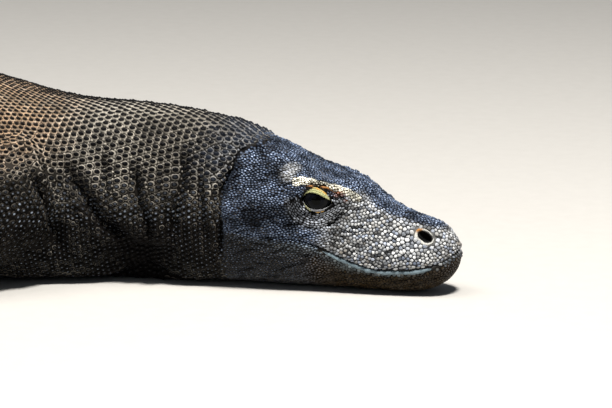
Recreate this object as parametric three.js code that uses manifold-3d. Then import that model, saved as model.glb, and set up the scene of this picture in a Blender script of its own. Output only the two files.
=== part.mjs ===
// Komodo dragon, life size, resting flat on its belly with its chin and throat on the floor.
//
// Millimetres, +Z up, snout towards +X, the animal's right side towards -Y. The floor is z = 0.
// Along the body a place is given as (back, out, up): how far behind the snout tip, measured
// along the back line, how far out from that line to either side, and how high off the floor.

import * as THREE from "three";
import { ParametricGeometry } from "three/addons/geometries/ParametricGeometry.js";
import { mergeVertices } from "three/addons/utils/BufferGeometryUtils.js";
import Module from "manifold-3d";

const wasm = await Module();
wasm.setup();

// ---------------------------------------------------------------- driving sizes

const GAP = 0.3; // clearance between neighbouring pieces
const AROUND = 24; // facets around the body
const FLOOR = 0;

const SNOUT_ROUNDING = 27; // length over which the blunt snout closes
const SNOUT_TIP_HEIGHT = 36;
const CHIN_ROUNDING = 50; // length over which the chin comes down to the floor
const TAIL_ROUNDING = 30;

const EYE_RADIUS = 13.5;
const EYE = { back: 125, out: 34, up: 86.5 };

const JAW_REACH = 172; // how far back the mouth line runs
const JAW_ROOT = 196; // where the lower jaw meets the throat at the floor
const THROAT_CUT = 219; // the skin fold behind the jaw
const NECK_CUT = 372;
const RIB_CUT = 760;
const VENT_CUT = 1190;
const TAIL_CUTS = [1590, 2010];

const SHOULDER_BACK = 405;
const HIP_BACK = 1105;

// The back line seen from above: the head turned a little to the right, a lazy curve in the tail.
const BACK_LINE = new THREE.CatmullRomCurve3(
  [
    [0, 0],
    [-110, 8],
    [-220, 16],
    [-330, 22],
    [-450, 24],
    [-760, 12],
    [-1100, 22],
    [-1400, 78],
    [-1740, 132],
    [-2070, 92],
    [-2330, -18],
  ].map(([x, y]) => new THREE.Vector3(x, y, 0)),
);
BACK_LINE.arcLengthDivisions = 2000;
const LENGTH = BACK_LINE.getLength();

// ---------------------------------------------------------------- profiles along the body

/** A smooth curve through [back, value] pairs, held level past its ends. */
function profile(...pairs) {
  const places = pairs.map((pair) => pair[0]);
  const curve = new THREE.CubicInterpolant(
    places,
    pairs.map((pair) => pair[1]),
    1,
  );
  const last = places[places.length - 1];
  return (back) =>
    curve.evaluate(THREE.MathUtils.clamp(back, places[0], last))[0];
}

const topHeight = profile(
  [0, 63],
  [30, 69],
  [60, 78],
  [74, 86],
  [86, 99],
  [104, 102],
  [122, 107],
  [142, 116.5],
  [160, 125.5],
  [200, 140],
  [245, 153],
  [300, 158.5],
  [360, 159.5],
  [395, 162],
  [440, 172],
  [520, 186],
  [640, 200],
  [780, 204],
  [920, 196],
  [1030, 178],
  [1120, 158],
  [1200, 140],
  [1300, 124],
  [1480, 105],
  [1720, 84],
  [2000, 60],
  [2250, 34],
  [LENGTH, 12],
);
const browHalfWidth = profile(
  [0, 14],
  [30, 18],
  [60, 25],
  [90, 33],
  [112, 40],
  [130, 42.5],
  [150, 42],
  [185, 44],
  [220, 48],
);
const browHeight = profile(
  [0, 57],
  [30, 63.5],
  [60, 71.5],
  [90, 88],
  [112, 98.5],
  [130, 102.5],
  [150, 109],
  [185, 121],
  [220, 131],
);
const cheekHalfWidth = profile(
  [0, 23],
  [30, 28],
  [60, 34],
  [90, 39.5],
  [125, 45.5],
  [150, 51],
  [180, 58],
  [205, 59.5],
  [222, 57],
);
const cheekHeight = profile([0, 40], [60, 44], [100, 52], [150, 68], [205, 76]);
const lipHalfWidth = profile(
  [0, 23.5],
  [30, 28],
  [60, 33.5],
  [90, 38],
  [125, 44],
  [165, 52],
  [210, 54],
);
const lipHeight = profile(
  [0, 26],
  [48, 26.5],
  [67, 29.5],
  [89, 36],
  [107, 43],
  [125, 49],
  [142, 53],
  [170, 55],
);
const bodyHalfWidth = profile(
  [180, 58],
  [222, 58],
  [250, 64],
  [300, 71],
  [345, 86],
  [405, 112],
  [480, 130],
  [600, 150],
  [740, 163],
  [880, 161],
  [1000, 142],
  [1105, 113],
  [1190, 90],
  [1290, 74],
  [1460, 59],
  [1720, 41],
  [2000, 25],
  [2250, 12],
  [LENGTH, 5],
);
// How much of the half width lies flat on the floor, and how high the widest place is.
const flatShare = profile([180, 0.55], [800, 0.66], [1150, 0.5], [1400, 0.32]);
const widestShare = profile([180, 0.46], [800, 0.38], [1400, 0.46]);

// Muscle and bone that push the skin out: where, how far it reaches, and by how much.
const SWELLS = [
  { name: "jaw muscle", at: [184, 58, 84], reach: [26, 40, 27], push: 4 },
  { name: "brow ridge", at: [122, 42, 99], reach: [17, 9, 6], push: 1.5 },
  { name: "nose", at: [30, 24, 56], reach: [16, 14, 10], push: 1.5 },
  { name: "nape", at: [215, 26, 142], reach: [30, 22, 20], push: 2.5 },
  { name: "shoulder blade", at: [455, 74, 160], reach: [46, 34, 30], push: 7 },
  { name: "ribs", at: [700, 150, 95], reach: [180, 60, 50], push: 4 },
  { name: "pelvis", at: [1095, 62, 140], reach: [48, 30, 26], push: 8 },
];

/** Control points down one side of the head's section, from the crown to under the throat. */
function headSection(back) {
  const top = topHeight(back);
  const brow = [browHalfWidth(back), browHeight(back)];
  const cheek = [cheekHalfWidth(back), cheekHeight(back)];
  const lip = [lipHalfWidth(back), lipHeight(back)];
  const mix = THREE.MathUtils.lerp;
  return [
    [0, top],
    [0.55 * brow[0], mix(top, brow[1], 0.28)],
    brow,
    [mix(brow[0], cheek[0], 0.34), mix(brow[1], cheek[1], 0.48)],
    cheek,
    lip,
    [0.92 * lip[0], 0.5 * lip[1]],
    [0.64 * lip[0], 0.1 * lip[1]],
    [0, 0],
  ];
}

/** The same points for the neck, trunk and tail: a rounded back over a flattened belly. */
function bodySection(back) {
  const top = topHeight(back);
  const half = bodyHalfWidth(back);
  const widest = widestShare(back) * top;
  const flat = flatShare(back) * half;
  const points = [];
  for (let step = 0; step <= 4; step++) {
    const angle = (step * Math.PI) / 8;
    points.push([
      half * Math.sin(angle) ** 0.94,
      widest + (top - widest) * Math.cos(angle) ** 0.9,
    ]);
  }
  for (let step = 1; step <= 3; step++) {
    const angle = (step * Math.PI) / 6;
    points.push([
      flat + (half - flat) * Math.cos(angle) ** 0.8,
      widest * (1 - Math.sin(angle) ** 1.1),
    ]);
  }
  points.push([0, 0]);
  return points;
}

function sectionPoints(back) {
  const head = headSection(back);
  const body = bodySection(back);
  const share = THREE.MathUtils.smoothstep(back, 192, 246);
  return head.map(([out, up], i) => [
    THREE.MathUtils.lerp(out, body[i][0], share),
    THREE.MathUtils.lerp(up, body[i][1], share),
  ]);
}

/** How far the section has opened from a closed end: a quarter ellipse over the rounding. */
function opening(distance, rounding) {
  const share = THREE.MathUtils.clamp(1 - distance / rounding, 0, 1);
  return (1 - share ** 2.3) ** 0.5;
}

/** A closed curve around the body at one place, `grow` larger all round. */
function sectionCurve(back, grow) {
  const half = sectionPoints(back);
  const snout = opening(back, SNOUT_ROUNDING);
  const tail = opening(LENGTH - back, TAIL_ROUNDING);
  const chin = opening(back, CHIN_ROUNDING);
  const middle = chin < 1 ? SNOUT_TIP_HEIGHT : 0.5 * topHeight(back);
  const open = Math.min(snout, tail);
  const place = ([out, up]) => {
    const centre = [0, 0.45 * topHeight(back)];
    const away = new THREE.Vector2(out - centre[0], up - centre[1]);
    const reach = SWELLS.reduce((sum, { at, reach: size, push }) => {
      const gauss =
        ((back - at[0]) / size[0]) ** 2 +
        ((out - at[1]) / size[1]) ** 2 +
        ((up - at[2]) / size[2]) ** 2;
      return sum + push * Math.exp(-gauss);
    }, grow);
    away.setLength(away.length() + reach);
    const wide = (centre[0] + away.x) * open;
    const rise = centre[1] + away.y - middle;
    const high = middle + rise * (rise < 0 ? Math.min(chin, open) : open);
    return [wide, high];
  };
  const side = half.map(place);
  const other = side.slice(1, -1).reverse();
  const loop = [...side, ...other.map(([wide, high]) => [-wide, high])];
  return new THREE.CatmullRomCurve3(
    loop.map(([wide, high]) => new THREE.Vector3(0, wide, high)),
    true,
    "centripetal",
  );
}

/** The back line's place and its directions, backwards and to the animal's right. */
function spine(back) {
  const share = THREE.MathUtils.clamp(back / LENGTH, 0, 1);
  const at = BACK_LINE.getPointAt(share);
  const rear = BACK_LINE.getTangentAt(share);
  const right = new THREE.Vector3(rear.y, -rear.x, 0).negate();
  return { at, rear, right };
}

/** A point (back, out, up) in the part's frame; out is positive on the animal's right. */
function inFrame(back, out, up) {
  const { at, right } = spine(back);
  return at.clone().addScaledVector(right, out).setZ(up);
}

// Rows of facets: close together on the head, further apart on the trunk and tail.
function rowPlaces() {
  const rows = [0, 1.2, 4.5, 10, 17];
  const stretches = [
    [25, 225, 13.5],
    [225, 405, 30],
    [405, 1190, 74],
    [1190, LENGTH - 60, 118],
  ];
  for (const [from, to, pitch] of stretches) {
    const count = Math.round((to - from) / pitch);
    for (let i = 0; i < count; i++) rows.push(from + ((to - from) * i) / count);
  }
  rows.push(LENGTH - 60, LENGTH - 20, LENGTH - 6, LENGTH);
  return rows;
}

// ---------------------------------------------------------------- solids

/** A closed mesh as a solid that can be joined and cut, with its faces turned outwards. */
function solid(geometry, matrix = new THREE.Matrix4()) {
  const bare = geometry.clone().applyMatrix4(matrix);
  bare.deleteAttribute("normal");
  bare.deleteAttribute("uv");
  const merged = mergeVertices(bare, 1e-3);
  const corners = merged.index.array;
  const faces = [];
  for (let i = 0; i < corners.length; i += 3) {
    const [a, b, c] = corners.subarray(i, i + 3);
    if (a !== b && b !== c && c !== a) faces.push(a, b, c);
  }
  const make = (triVerts) =>
    new wasm.Manifold(
      new wasm.Mesh({
        numProp: 3,
        vertProperties: merged.attributes.position.array,
        triVerts: new Uint32Array(triVerts),
      }),
    );
  const made = make(faces);
  return made.volume() < 0 ? make(faces.toReversed()) : made;
}

/** The surface through a list of closed rings, each a function of 0..1 to a point. */
function loft(rings, around) {
  const surface = (u, v, target) => {
    const row = Math.round(v * (rings.length - 1));
    const side = Math.round(u * around) % around;
    target.copy(rings[row](side / around));
  };
  return solid(new ParametricGeometry(surface, around, rings.length - 1));
}

/** The whole animal without its legs, `grow` larger all round. */
function bodySolid(grow) {
  const rings = rowPlaces().map((back) => {
    const curve = sectionCurve(back, grow);
    return (turn) => {
      const point = curve.getPoint(turn);
      const floor = grow > 0 ? -grow : FLOOR;
      return inFrame(back, point.y, Math.max(point.z, floor));
    };
  });
  return loft(rings, AROUND);
}

/**
 * A tapering limb piece with round ends along a smooth curve.
 * stops are {at: Vector3, wide, thick}: half sizes across, level and upright.
 */
function limbPiece(stops, around, rows, grow = 0) {
  const curve = new THREE.CatmullRomCurve3(stops.map((stop) => stop.at));
  const places = stops.map((_, i) => i / (stops.length - 1));
  const size = (key) =>
    new THREE.CubicInterpolant(
      places,
      stops.map((stop) => stop[key]),
      1,
    );
  const wide = size("wide");
  const thick = size("thick");
  const rings = [];
  for (let row = 0; row <= rows; row++) {
    const angle = (row / rows) * Math.PI;
    const along = (1 - Math.cos(angle)) / 2;
    const ends = Math.min(1, Math.sin(angle) * 1.9) ** 0.75;
    const centre = curve.getPoint(along);
    const ahead = curve.getTangent(along);
    const across = new THREE.Vector3(0, 0, 1).cross(ahead).normalize();
    const upright = ahead.clone().cross(across);
    const halfWide = (wide.evaluate(along)[0] + grow) * ends;
    const halfThick = (thick.evaluate(along)[0] + grow) * ends;
    rings.push((turn) => {
      const phase = turn * 2 * Math.PI;
      return centre
        .clone()
        .addScaledVector(across, halfWide * Math.cos(phase))
        .addScaledVector(upright, halfThick * Math.sin(phase));
    });
  }
  return loft(rings, around);
}

function joinAll(solids) {
  return solids.reduce((sum, next) => sum.add(next));
}

/** What lies on the far side of a plane through `point` that faces along `facing`. */
function beyond(shape, point, facing, clearance = GAP / 2) {
  const unit = facing.clone().normalize();
  return shape.trimByPlane(unit.toArray(), unit.dot(point) + clearance);
}

/** The stretch of the body between two places along the back line. */
function stretch(shape, from, to) {
  let cut = shape;
  if (from !== null) cut = beyond(cut, spine(from).at, spine(from).rear);
  if (to !== null) cut = beyond(cut, spine(to).at, spine(to).rear.negate());
  return cut;
}

/** Everything under the mouth line: a block whose top edge follows it, `drop` lower. */
function underMouth(drop) {
  const shape = new THREE.Shape();
  shape.moveTo(60, -60);
  shape.lineTo(60, lipHeight(0) - drop);
  for (let back = 0; back <= JAW_REACH; back += JAW_REACH / 12)
    shape.lineTo(-back, lipHeight(back) - drop);
  shape.lineTo(-JAW_REACH - 4 + drop, lipHeight(JAW_REACH) - 6 - drop);
  shape.lineTo(-JAW_ROOT + drop, -60);
  shape.closePath();
  const block = new THREE.ExtrudeGeometry(shape, {
    depth: 300,
    bevelEnabled: false,
  });
  const { rear } = spine(JAW_REACH / 2);
  const turn = Math.atan2(-rear.y, -rear.x);
  const stand = new THREE.Matrix4()
    .makeRotationZ(turn)
    .multiply(new THREE.Matrix4().makeRotationX(Math.PI / 2))
    .multiply(new THREE.Matrix4().makeTranslation(0, 0, -150));
  return solid(block, stand);
}

// ---------------------------------------------------------------- legs

// Each leg from its girdle: how far behind the girdle, out and up each joint lies.
// The two legs of a pair rest a little differently.
const LEG_POSES = {
  foreleg: {
    girdle: SHOULDER_BACK,
    right: [
      [14, 86, 76],
      [142, 205, 41],
      [96, 308, 27],
      [48, 350, 17],
    ],
    left: [
      [14, 86, 76],
      [150, 198, 41],
      [124, 308, 27],
      [88, 362, 17],
    ],
  },
  hindleg: {
    girdle: HIP_BACK,
    right: [
      [0, 66, 78],
      [-120, 218, 54],
      [14, 296, 32],
      [-40, 352, 18],
    ],
    left: [
      [0, 66, 78],
      [-104, 228, 54],
      [34, 292, 32],
      [-12, 358, 18],
    ],
  },
};
const LEG_SIZES = {
  foreleg: {
    names: ["upper_arm", "forearm", "hand"],
    upper: [
      [60, 64],
      [57, 60],
      [46, 47],
      [41, 41],
    ],
    lower: [
      [41, 41],
      [41, 40],
      [32, 30],
      [27, 25],
    ],
    palm: [
      [28, 24],
      [36, 19],
      [33, 14],
    ],
    toes: { lengths: [40, 56, 62, 58, 42], fan: [58, 27, 2, -22, -52], half: 9.5 },
    claw: { length: 30, half: 5.4 },
  },
  hindleg: {
    names: ["thigh", "shank", "foot"],
    upper: [
      [76, 72],
      [73, 69],
      [56, 55],
      [47, 47],
    ],
    lower: [
      [46, 47],
      [48, 46],
      [35, 34],
      [30, 28],
    ],
    palm: [
      [30, 27],
      [38, 21],
      [35, 15],
    ],
    toes: { lengths: [38, 60, 74, 82, 50], fan: [50, 25, 4, -16, -62], half: 10 },
    claw: { length: 32, half: 5.6 },
  },
};

/**
 * Stops for limbPiece from one joint to the next, bowed up by `bow`. The piece runs past each
 * joint by a share of its size there, so that two pieces meet at full size in the bend.
 */
function stopsBetween(from, to, sizes, bow = 0) {
  const way = to.clone().sub(from).normalize();
  const start = from.clone().addScaledVector(way, -0.8 * sizes[0][1]);
  const end = to.clone().addScaledVector(way, 0.8 * sizes.at(-1)[1]);
  return sizes.map(([wide, thick], i) => {
    const share = i / (sizes.length - 1);
    const at = start.clone().lerp(end, share);
    at.z += bow * Math.sin(share * Math.PI);
    return { at, wide, thick };
  });
}

/** A toe and its claw: the toe arches from the palm to the floor, the claw hooks on from it. */
function toeStops(root, heading, length, half) {
  const at = (share, up) => root.clone().addScaledVector(heading, length * share).setZ(up);
  return [
    { at: at(-0.25, half * 1.3), wide: half * 0.95, thick: half * 0.95 },
    { at: at(0.3, half * 1.42), wide: half, thick: half },
    { at: at(0.68, half * 1.05), wide: half * 0.88, thick: half * 0.86 },
    { at: at(1, half * 0.86), wide: half * 0.76, thick: half * 0.78 },
  ];
}

function clawSolid(tip, heading, { length, half }) {
  const at = (share, up) => tip.clone().addScaledVector(heading, length * share).setZ(up);
  const stops = [
    { at: at(-0.3, half * 1.5), wide: half * 0.8, thick: half * 1.1 },
    { at: at(0.25, half * 1.75), wide: half * 0.66, thick: half * 0.95 },
    { at: at(0.7, half * 1.2), wide: half * 0.4, thick: half * 0.56 },
    { at: at(1.02, half * 0.24), wide: half * 0.13, thick: half * 0.16 },
  ];
  return limbPiece(stops, 5, 4);
}

/** One leg as named solids: its three lengths and its five claws. */
function legSolids(kind, side, bodyShell) {
  const sign = side === "right" ? 1 : -1;
  const { girdle, [side]: pose } = LEG_POSES[kind];
  const sizes = LEG_SIZES[kind];
  const { at, rear, right } = spine(girdle);
  const [root, bend, ankle, knuckle] = pose.map(([behind, out, up]) =>
    at
      .clone()
      .addScaledVector(rear, behind)
      .addScaledVector(right, sign * out)
      .setZ(up),
  );
  const heading = knuckle.clone().sub(ankle).setZ(0).normalize();
  const across = new THREE.Vector3(0, 0, 1).cross(heading).multiplyScalar(sign);
  const { lengths, fan, half } = sizes.toes;
  const toes = lengths.map((length, i) => {
    const share = 1 - i / 2;
    const turned = heading
      .clone()
      .applyAxisAngle(
        new THREE.Vector3(0, 0, 1),
        sign * THREE.MathUtils.degToRad(fan[i]),
      );
    const start = knuckle
      .clone()
      .addScaledVector(across, share * 23)
      .addScaledVector(heading, -Math.abs(share) * 15);
    return { start, turned, length };
  });
  const flesh = (grow) =>
    joinAll([
      limbPiece(stopsBetween(root, bend, sizes.upper, 6), 11, 6, grow),
      limbPiece(stopsBetween(bend, ankle, sizes.lower, 3), 9, 6, grow),
      limbPiece(stopsBetween(ankle, knuckle, sizes.palm, 2), 8, 5, grow),
      ...toes.map(({ start, turned, length }) =>
        limbPiece(toeStops(start, turned, length, half), 5, 5, grow),
      ),
    ]);
  const floorUp = new THREE.Vector3(0, 0, 1);
  const onFloor = (shape) => beyond(shape, new THREE.Vector3(), floorUp, FLOOR);
  const whole = onFloor(flesh(0)).subtract(bodyShell);
  const upperWay = bend.clone().sub(root).normalize();
  const lowerWay = ankle.clone().sub(bend).normalize();
  const palmWay = knuckle.clone().sub(ankle).normalize();
  const elbowFacing = upperWay.clone().add(lowerWay).normalize();
  const wristFacing = lowerWay.clone().add(palmWay).normalize();
  const pastElbow = beyond(whole, bend, elbowFacing);
  const made = {
    [`${side}_${sizes.names[0]}`]: beyond(whole, bend, elbowFacing.clone().negate()),
    [`${side}_${sizes.names[1]}`]: beyond(pastElbow, ankle, wristFacing.clone().negate()),
    [`${side}_${sizes.names[2]}`]: beyond(pastElbow, ankle, wristFacing),
  };
  const shell = flesh(GAP);
  toes.forEach(({ start, turned, length }, i) => {
    const tip = start.clone().addScaledVector(turned, length);
    const claw = onFloor(clawSolid(tip, turned, sizes.claw)).subtract(shell);
    made[`${side}_${sizes.names[2]}_claw_${i + 1}`] = claw;
  });
  return made;
}

// ---------------------------------------------------------------- the animal

/** The biggest of the bodies that a cut leaves, so that no crumb comes along. */
function mainBody(shape) {
  const bodies = shape.decompose();
  return bodies.reduce((best, next) => (next.volume() > best.volume() ? next : best));
}

function eyeSolid(sign, radius) {
  const ball = new THREE.SphereGeometry(radius, 12, 7);
  const at = inFrame(EYE.back, sign * EYE.out, EYE.up);
  return solid(ball, new THREE.Matrix4().makeTranslation(at.x, at.y, at.z));
}

function animalSolids() {
  const body = bodySolid(0);
  const bodyShell = bodySolid(GAP);
  const skull = stretch(body, null, THROAT_CUT)
    .subtract(underMouth(0))
    .subtract(eyeSolid(1, EYE_RADIUS + GAP))
    .subtract(eyeSolid(-1, EYE_RADIUS + GAP));
  return {
    head: skull,
    lower_jaw: stretch(body, null, THROAT_CUT).intersect(underMouth(GAP)),
    right_eye: eyeSolid(1, EYE_RADIUS),
    left_eye: eyeSolid(-1, EYE_RADIUS),
    neck: stretch(body, THROAT_CUT, NECK_CUT),
    chest: stretch(body, NECK_CUT, RIB_CUT),
    belly: stretch(body, RIB_CUT, VENT_CUT),
    tail_base: stretch(body, VENT_CUT, TAIL_CUTS[0]),
    tail_middle: stretch(body, TAIL_CUTS[0], TAIL_CUTS[1]),
    tail_tip: stretch(body, TAIL_CUTS[1], null),
    ...legSolids("foreleg", "right", bodyShell),
    ...legSolids("foreleg", "left", bodyShell),
    ...legSolids("hindleg", "right", bodyShell),
    ...legSolids("hindleg", "left", bodyShell),
  };
}

const HIDE = new THREE.MeshStandardMaterial({
  color: 0x4a4640,
  roughness: 0.72,
  metalness: 0,
});
const HEAD_HIDE = new THREE.MeshStandardMaterial({
  color: 0x6f6c66,
  roughness: 0.66,
  metalness: 0,
});
const HORN = new THREE.MeshStandardMaterial({
  color: 0x2a2622,
  roughness: 0.4,
  metalness: 0,
});
const EYE_GLOSS = new THREE.MeshStandardMaterial({
  color: 0x120d0a,
  roughness: 0.08,
  metalness: 0,
});

function materialFor(name) {
  if (name.endsWith("_eye")) return EYE_GLOSS;
  if (name.includes("_claw_")) return HORN;
  return name === "head" || name === "lower_jaw" ? HEAD_HIDE : HIDE;
}

function geometryOf(shape) {
  const { numProp, numVert, vertProperties, triVerts } = shape.getMesh();
  const places = new Float32Array(numVert * 3);
  for (let i = 0; i < numVert; i++)
    places.set(vertProperties.subarray(i * numProp, i * numProp + 3), i * 3);
  return new THREE.BufferGeometry()
    .setAttribute("position", new THREE.BufferAttribute(places, 3))
    .setIndex(new THREE.BufferAttribute(triVerts, 1));
}

const animal = new THREE.Group();
for (const [name, shape] of Object.entries(animalSolids())) {
  const mesh = new THREE.Mesh(geometryOf(mainBody(shape)), materialFor(name));
  mesh.name = name;
  animal.add(mesh);
}

// The origin goes to the middle of the animal's footprint, on the floor.
const bounds = new THREE.Box3().setFromObject(animal);
const middle = bounds.getCenter(new THREE.Vector3());
animal.position.set(-middle.x, -middle.y, -bounds.min.z);

export default animal;
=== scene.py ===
"""Komodo dragon at rest: one skin over the flesh, solid scales on it, eyes, claws and a studio.

Lengths are in millimetres until a mesh is written. A place on the animal is also given as
(back, out, up): how far behind the snout tip along the back line, how far out from that line
(positive on the animal's right) and how high off the floor.
"""

import math

import bmesh
import bpy
import numpy as np
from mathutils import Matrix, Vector
from mathutils.bvhtree import BVHTree
from mathutils.kdtree import KDTree

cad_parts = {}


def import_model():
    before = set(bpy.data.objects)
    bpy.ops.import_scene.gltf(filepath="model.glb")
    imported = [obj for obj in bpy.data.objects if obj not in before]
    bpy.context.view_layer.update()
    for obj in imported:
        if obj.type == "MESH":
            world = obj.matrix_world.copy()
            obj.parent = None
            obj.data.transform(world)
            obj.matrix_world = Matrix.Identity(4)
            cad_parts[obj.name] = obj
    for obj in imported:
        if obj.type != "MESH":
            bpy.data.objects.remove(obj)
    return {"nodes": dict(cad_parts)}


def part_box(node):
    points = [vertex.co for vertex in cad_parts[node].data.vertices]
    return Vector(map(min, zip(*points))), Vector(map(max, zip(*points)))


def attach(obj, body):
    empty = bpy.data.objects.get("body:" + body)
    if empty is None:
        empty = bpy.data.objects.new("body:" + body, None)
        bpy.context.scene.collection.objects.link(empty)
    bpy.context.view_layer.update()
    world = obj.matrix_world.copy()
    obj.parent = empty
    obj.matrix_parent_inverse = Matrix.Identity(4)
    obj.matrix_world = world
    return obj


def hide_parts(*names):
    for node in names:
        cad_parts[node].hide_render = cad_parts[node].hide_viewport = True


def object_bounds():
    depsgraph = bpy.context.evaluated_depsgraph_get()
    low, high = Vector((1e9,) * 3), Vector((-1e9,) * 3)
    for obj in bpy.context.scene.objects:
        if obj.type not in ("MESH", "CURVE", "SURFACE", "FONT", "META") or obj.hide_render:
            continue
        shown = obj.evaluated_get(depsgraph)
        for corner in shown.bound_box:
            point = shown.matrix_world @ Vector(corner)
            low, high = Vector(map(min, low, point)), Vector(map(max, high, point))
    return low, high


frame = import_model()
CAD_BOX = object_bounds()

MM = 0.001
SEED = 11
rng = np.random.default_rng(SEED)

# ---------------------------------------------------------------- the back line

BACK_LINE = [
    (0, 0), (-110, 8), (-220, 16), (-330, 22), (-450, 24), (-760, 12),
    (-1100, 22), (-1400, 78), (-1740, 132), (-2070, 92), (-2330, -18),
]
EYE_BACK = 125


def unit(vectors):
    length = np.linalg.norm(vectors, axis=-1, keepdims=True)
    return vectors / np.maximum(length, 1e-9)


def smoothstep(value, low, high):
    """0 below low, 1 above high, smooth between."""
    share = np.clip((value - low) / (high - low), 0, 1)
    return share * share * (3 - 2 * share)


def bell(value, middle, width):
    return np.exp(-(((value - middle) / width) ** 2))


def smooth_path(points, steps):
    """A centripetal Catmull-Rom curve through the points."""
    stops = [np.array(point, float) for point in points]
    stops = [2 * stops[0] - stops[1], *stops, 2 * stops[-1] - stops[-2]]
    t = np.linspace(0, 1, steps, endpoint=False)[:, None]
    dense = []
    for p0, p1, p2, p3 in zip(stops, stops[1:], stops[2:], stops[3:]):
        gaps = [math.sqrt(np.linalg.norm(b - a)) for a, b in ((p0, p1), (p1, p2), (p2, p3))]
        g0, g1, g2 = gaps
        leave = ((p1 - p0) / g0 - (p2 - p0) / (g0 + g1) + (p2 - p1) / g1) * g1
        arrive = ((p2 - p1) / g1 - (p3 - p1) / (g1 + g2) + (p3 - p2) / g2) * g1
        start = (2 * t**3 - 3 * t**2 + 1) * p1 + (t**3 - 2 * t**2 + t) * leave
        dense.append(start + (3 * t**2 - 2 * t**3) * p2 + (t**3 - t**2) * arrive)
    return np.vstack([*dense, stops[-2]])


def node_box(name):
    low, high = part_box(name)
    return np.array(low) / MM, np.array(high) / MM


class Spine:
    """The back line seen from above, and places measured along it."""

    def __init__(self):
        self.line = smooth_path(BACK_LINE, 60)
        steps = np.linalg.norm(np.diff(self.line, axis=0), axis=1)
        self.back = np.concatenate([[0], np.cumsum(steps)])
        self.rear = unit(np.gradient(self.line, self.back, axis=0))
        eyes = [np.mean(node_box(name), axis=0)[:2] for name in ("right_eye", "left_eye")]
        self.line = self.line + np.mean(eyes, axis=0) - self.at(EYE_BACK)
        self.length = self.back[-1]

    def at(self, back):
        return np.stack([np.interp(back, self.back, self.line[:, i]) for i in (0, 1)], -1)

    def rearward(self, back):
        return unit(np.stack([np.interp(back, self.back, self.rear[:, i]) for i in (0, 1)], -1))

    def rightward(self, back):
        rear = self.rearward(back)
        return np.stack([-rear[..., 1], rear[..., 0]], -1)

    def locate(self, points):
        """(back, out, up) of each point."""
        level = points[:, :2]
        back = np.interp(-points[:, 0], -self.line[:, 0], self.back)
        for _ in range(5):
            back = back + np.sum((level - self.at(back)) * self.rearward(back), axis=1)
            back = np.clip(back, 0, self.length)
        out = np.sum((level - self.at(back)) * self.rightward(back), axis=1)
        return np.stack([back, out, points[:, 2]], -1)

    def point(self, back, out, up):
        level = self.at(back) + self.rightward(back) * out
        return np.array([*level, up])


SPINE = Spine()

# ---------------------------------------------------------------- mesh helpers


def read(mesh, key, width=3, kind=float, source="vertices"):
    items = getattr(mesh, source)
    values = np.empty(len(items) * width, kind)
    items.foreach_get(key, values)
    return values.reshape(-1, width)


def places(mesh):
    return read(mesh, "co") / MM


def move(mesh, co):
    mesh.vertices.foreach_set("co", (co * MM).ravel())
    mesh.update()


def vertex_edges(mesh):
    return read(mesh, "vertices", 2, np.int32, "edges")


def relax(co, edges, strength, passes, grow=0.45, shrink=0.55):
    """Irons out facets; strength is 0 to 1 at each vertex."""
    near = np.bincount(edges.ravel(), minlength=len(co))[:, None]
    near = np.maximum(near, 1)
    for step in range(passes):
        total = np.empty_like(co)
        for axis in range(3):
            one = np.bincount(edges[:, 0], co[edges[:, 1], axis], len(co))
            other = np.bincount(edges[:, 1], co[edges[:, 0], axis], len(co))
            total[:, axis] = one + other
        factor = shrink if step % 2 == 0 else -grow
        co = co + (total / near - co) * factor * strength[:, None]
    return co


def subdivide(mesh, chosen):
    """Halves the edges between chosen vertices."""
    bm = bmesh.new()
    bm.from_mesh(mesh)
    edges = [e for e in bm.edges if chosen[e.verts[0].index] and chosen[e.verts[1].index]]
    bmesh.ops.subdivide_edges(bm, edges=edges, cuts=1, use_grid_fill=True)
    bm.to_mesh(mesh)
    bm.free()
    mesh.update()


def new_object(name, mesh):
    made = bpy.data.objects.new(name, mesh)
    bpy.context.scene.collection.objects.link(made)
    return made


def mesh_from(name, co, faces):
    """A mesh from places and a list of face arrays, each of one corner count."""
    mesh = bpy.data.meshes.new(name)
    mesh.vertices.add(len(co))
    mesh.vertices.foreach_set("co", (co * MM).astype(np.float32).ravel())
    counts = np.concatenate([np.full(len(block), block.shape[1]) for block in faces])
    loops = np.concatenate([block.ravel() for block in faces])
    mesh.loops.add(len(loops))
    mesh.loops.foreach_set("vertex_index", loops.astype(np.int32))
    mesh.polygons.add(len(counts))
    starts = np.concatenate([[0], np.cumsum(counts)[:-1]])
    mesh.polygons.foreach_set("loop_start", starts.astype(np.int32))
    mesh.polygons.foreach_set("use_smooth", np.ones(len(counts), bool))
    mesh.update(calc_edges=True)
    return mesh


def set_attribute(mesh, name, values):
    layer = mesh.attributes.new(name, "FLOAT", "POINT")
    layer.data.foreach_set("value", np.asarray(values, np.float32))


PATH_REACH = 26.0
DENSE_PATHS = {}


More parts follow.
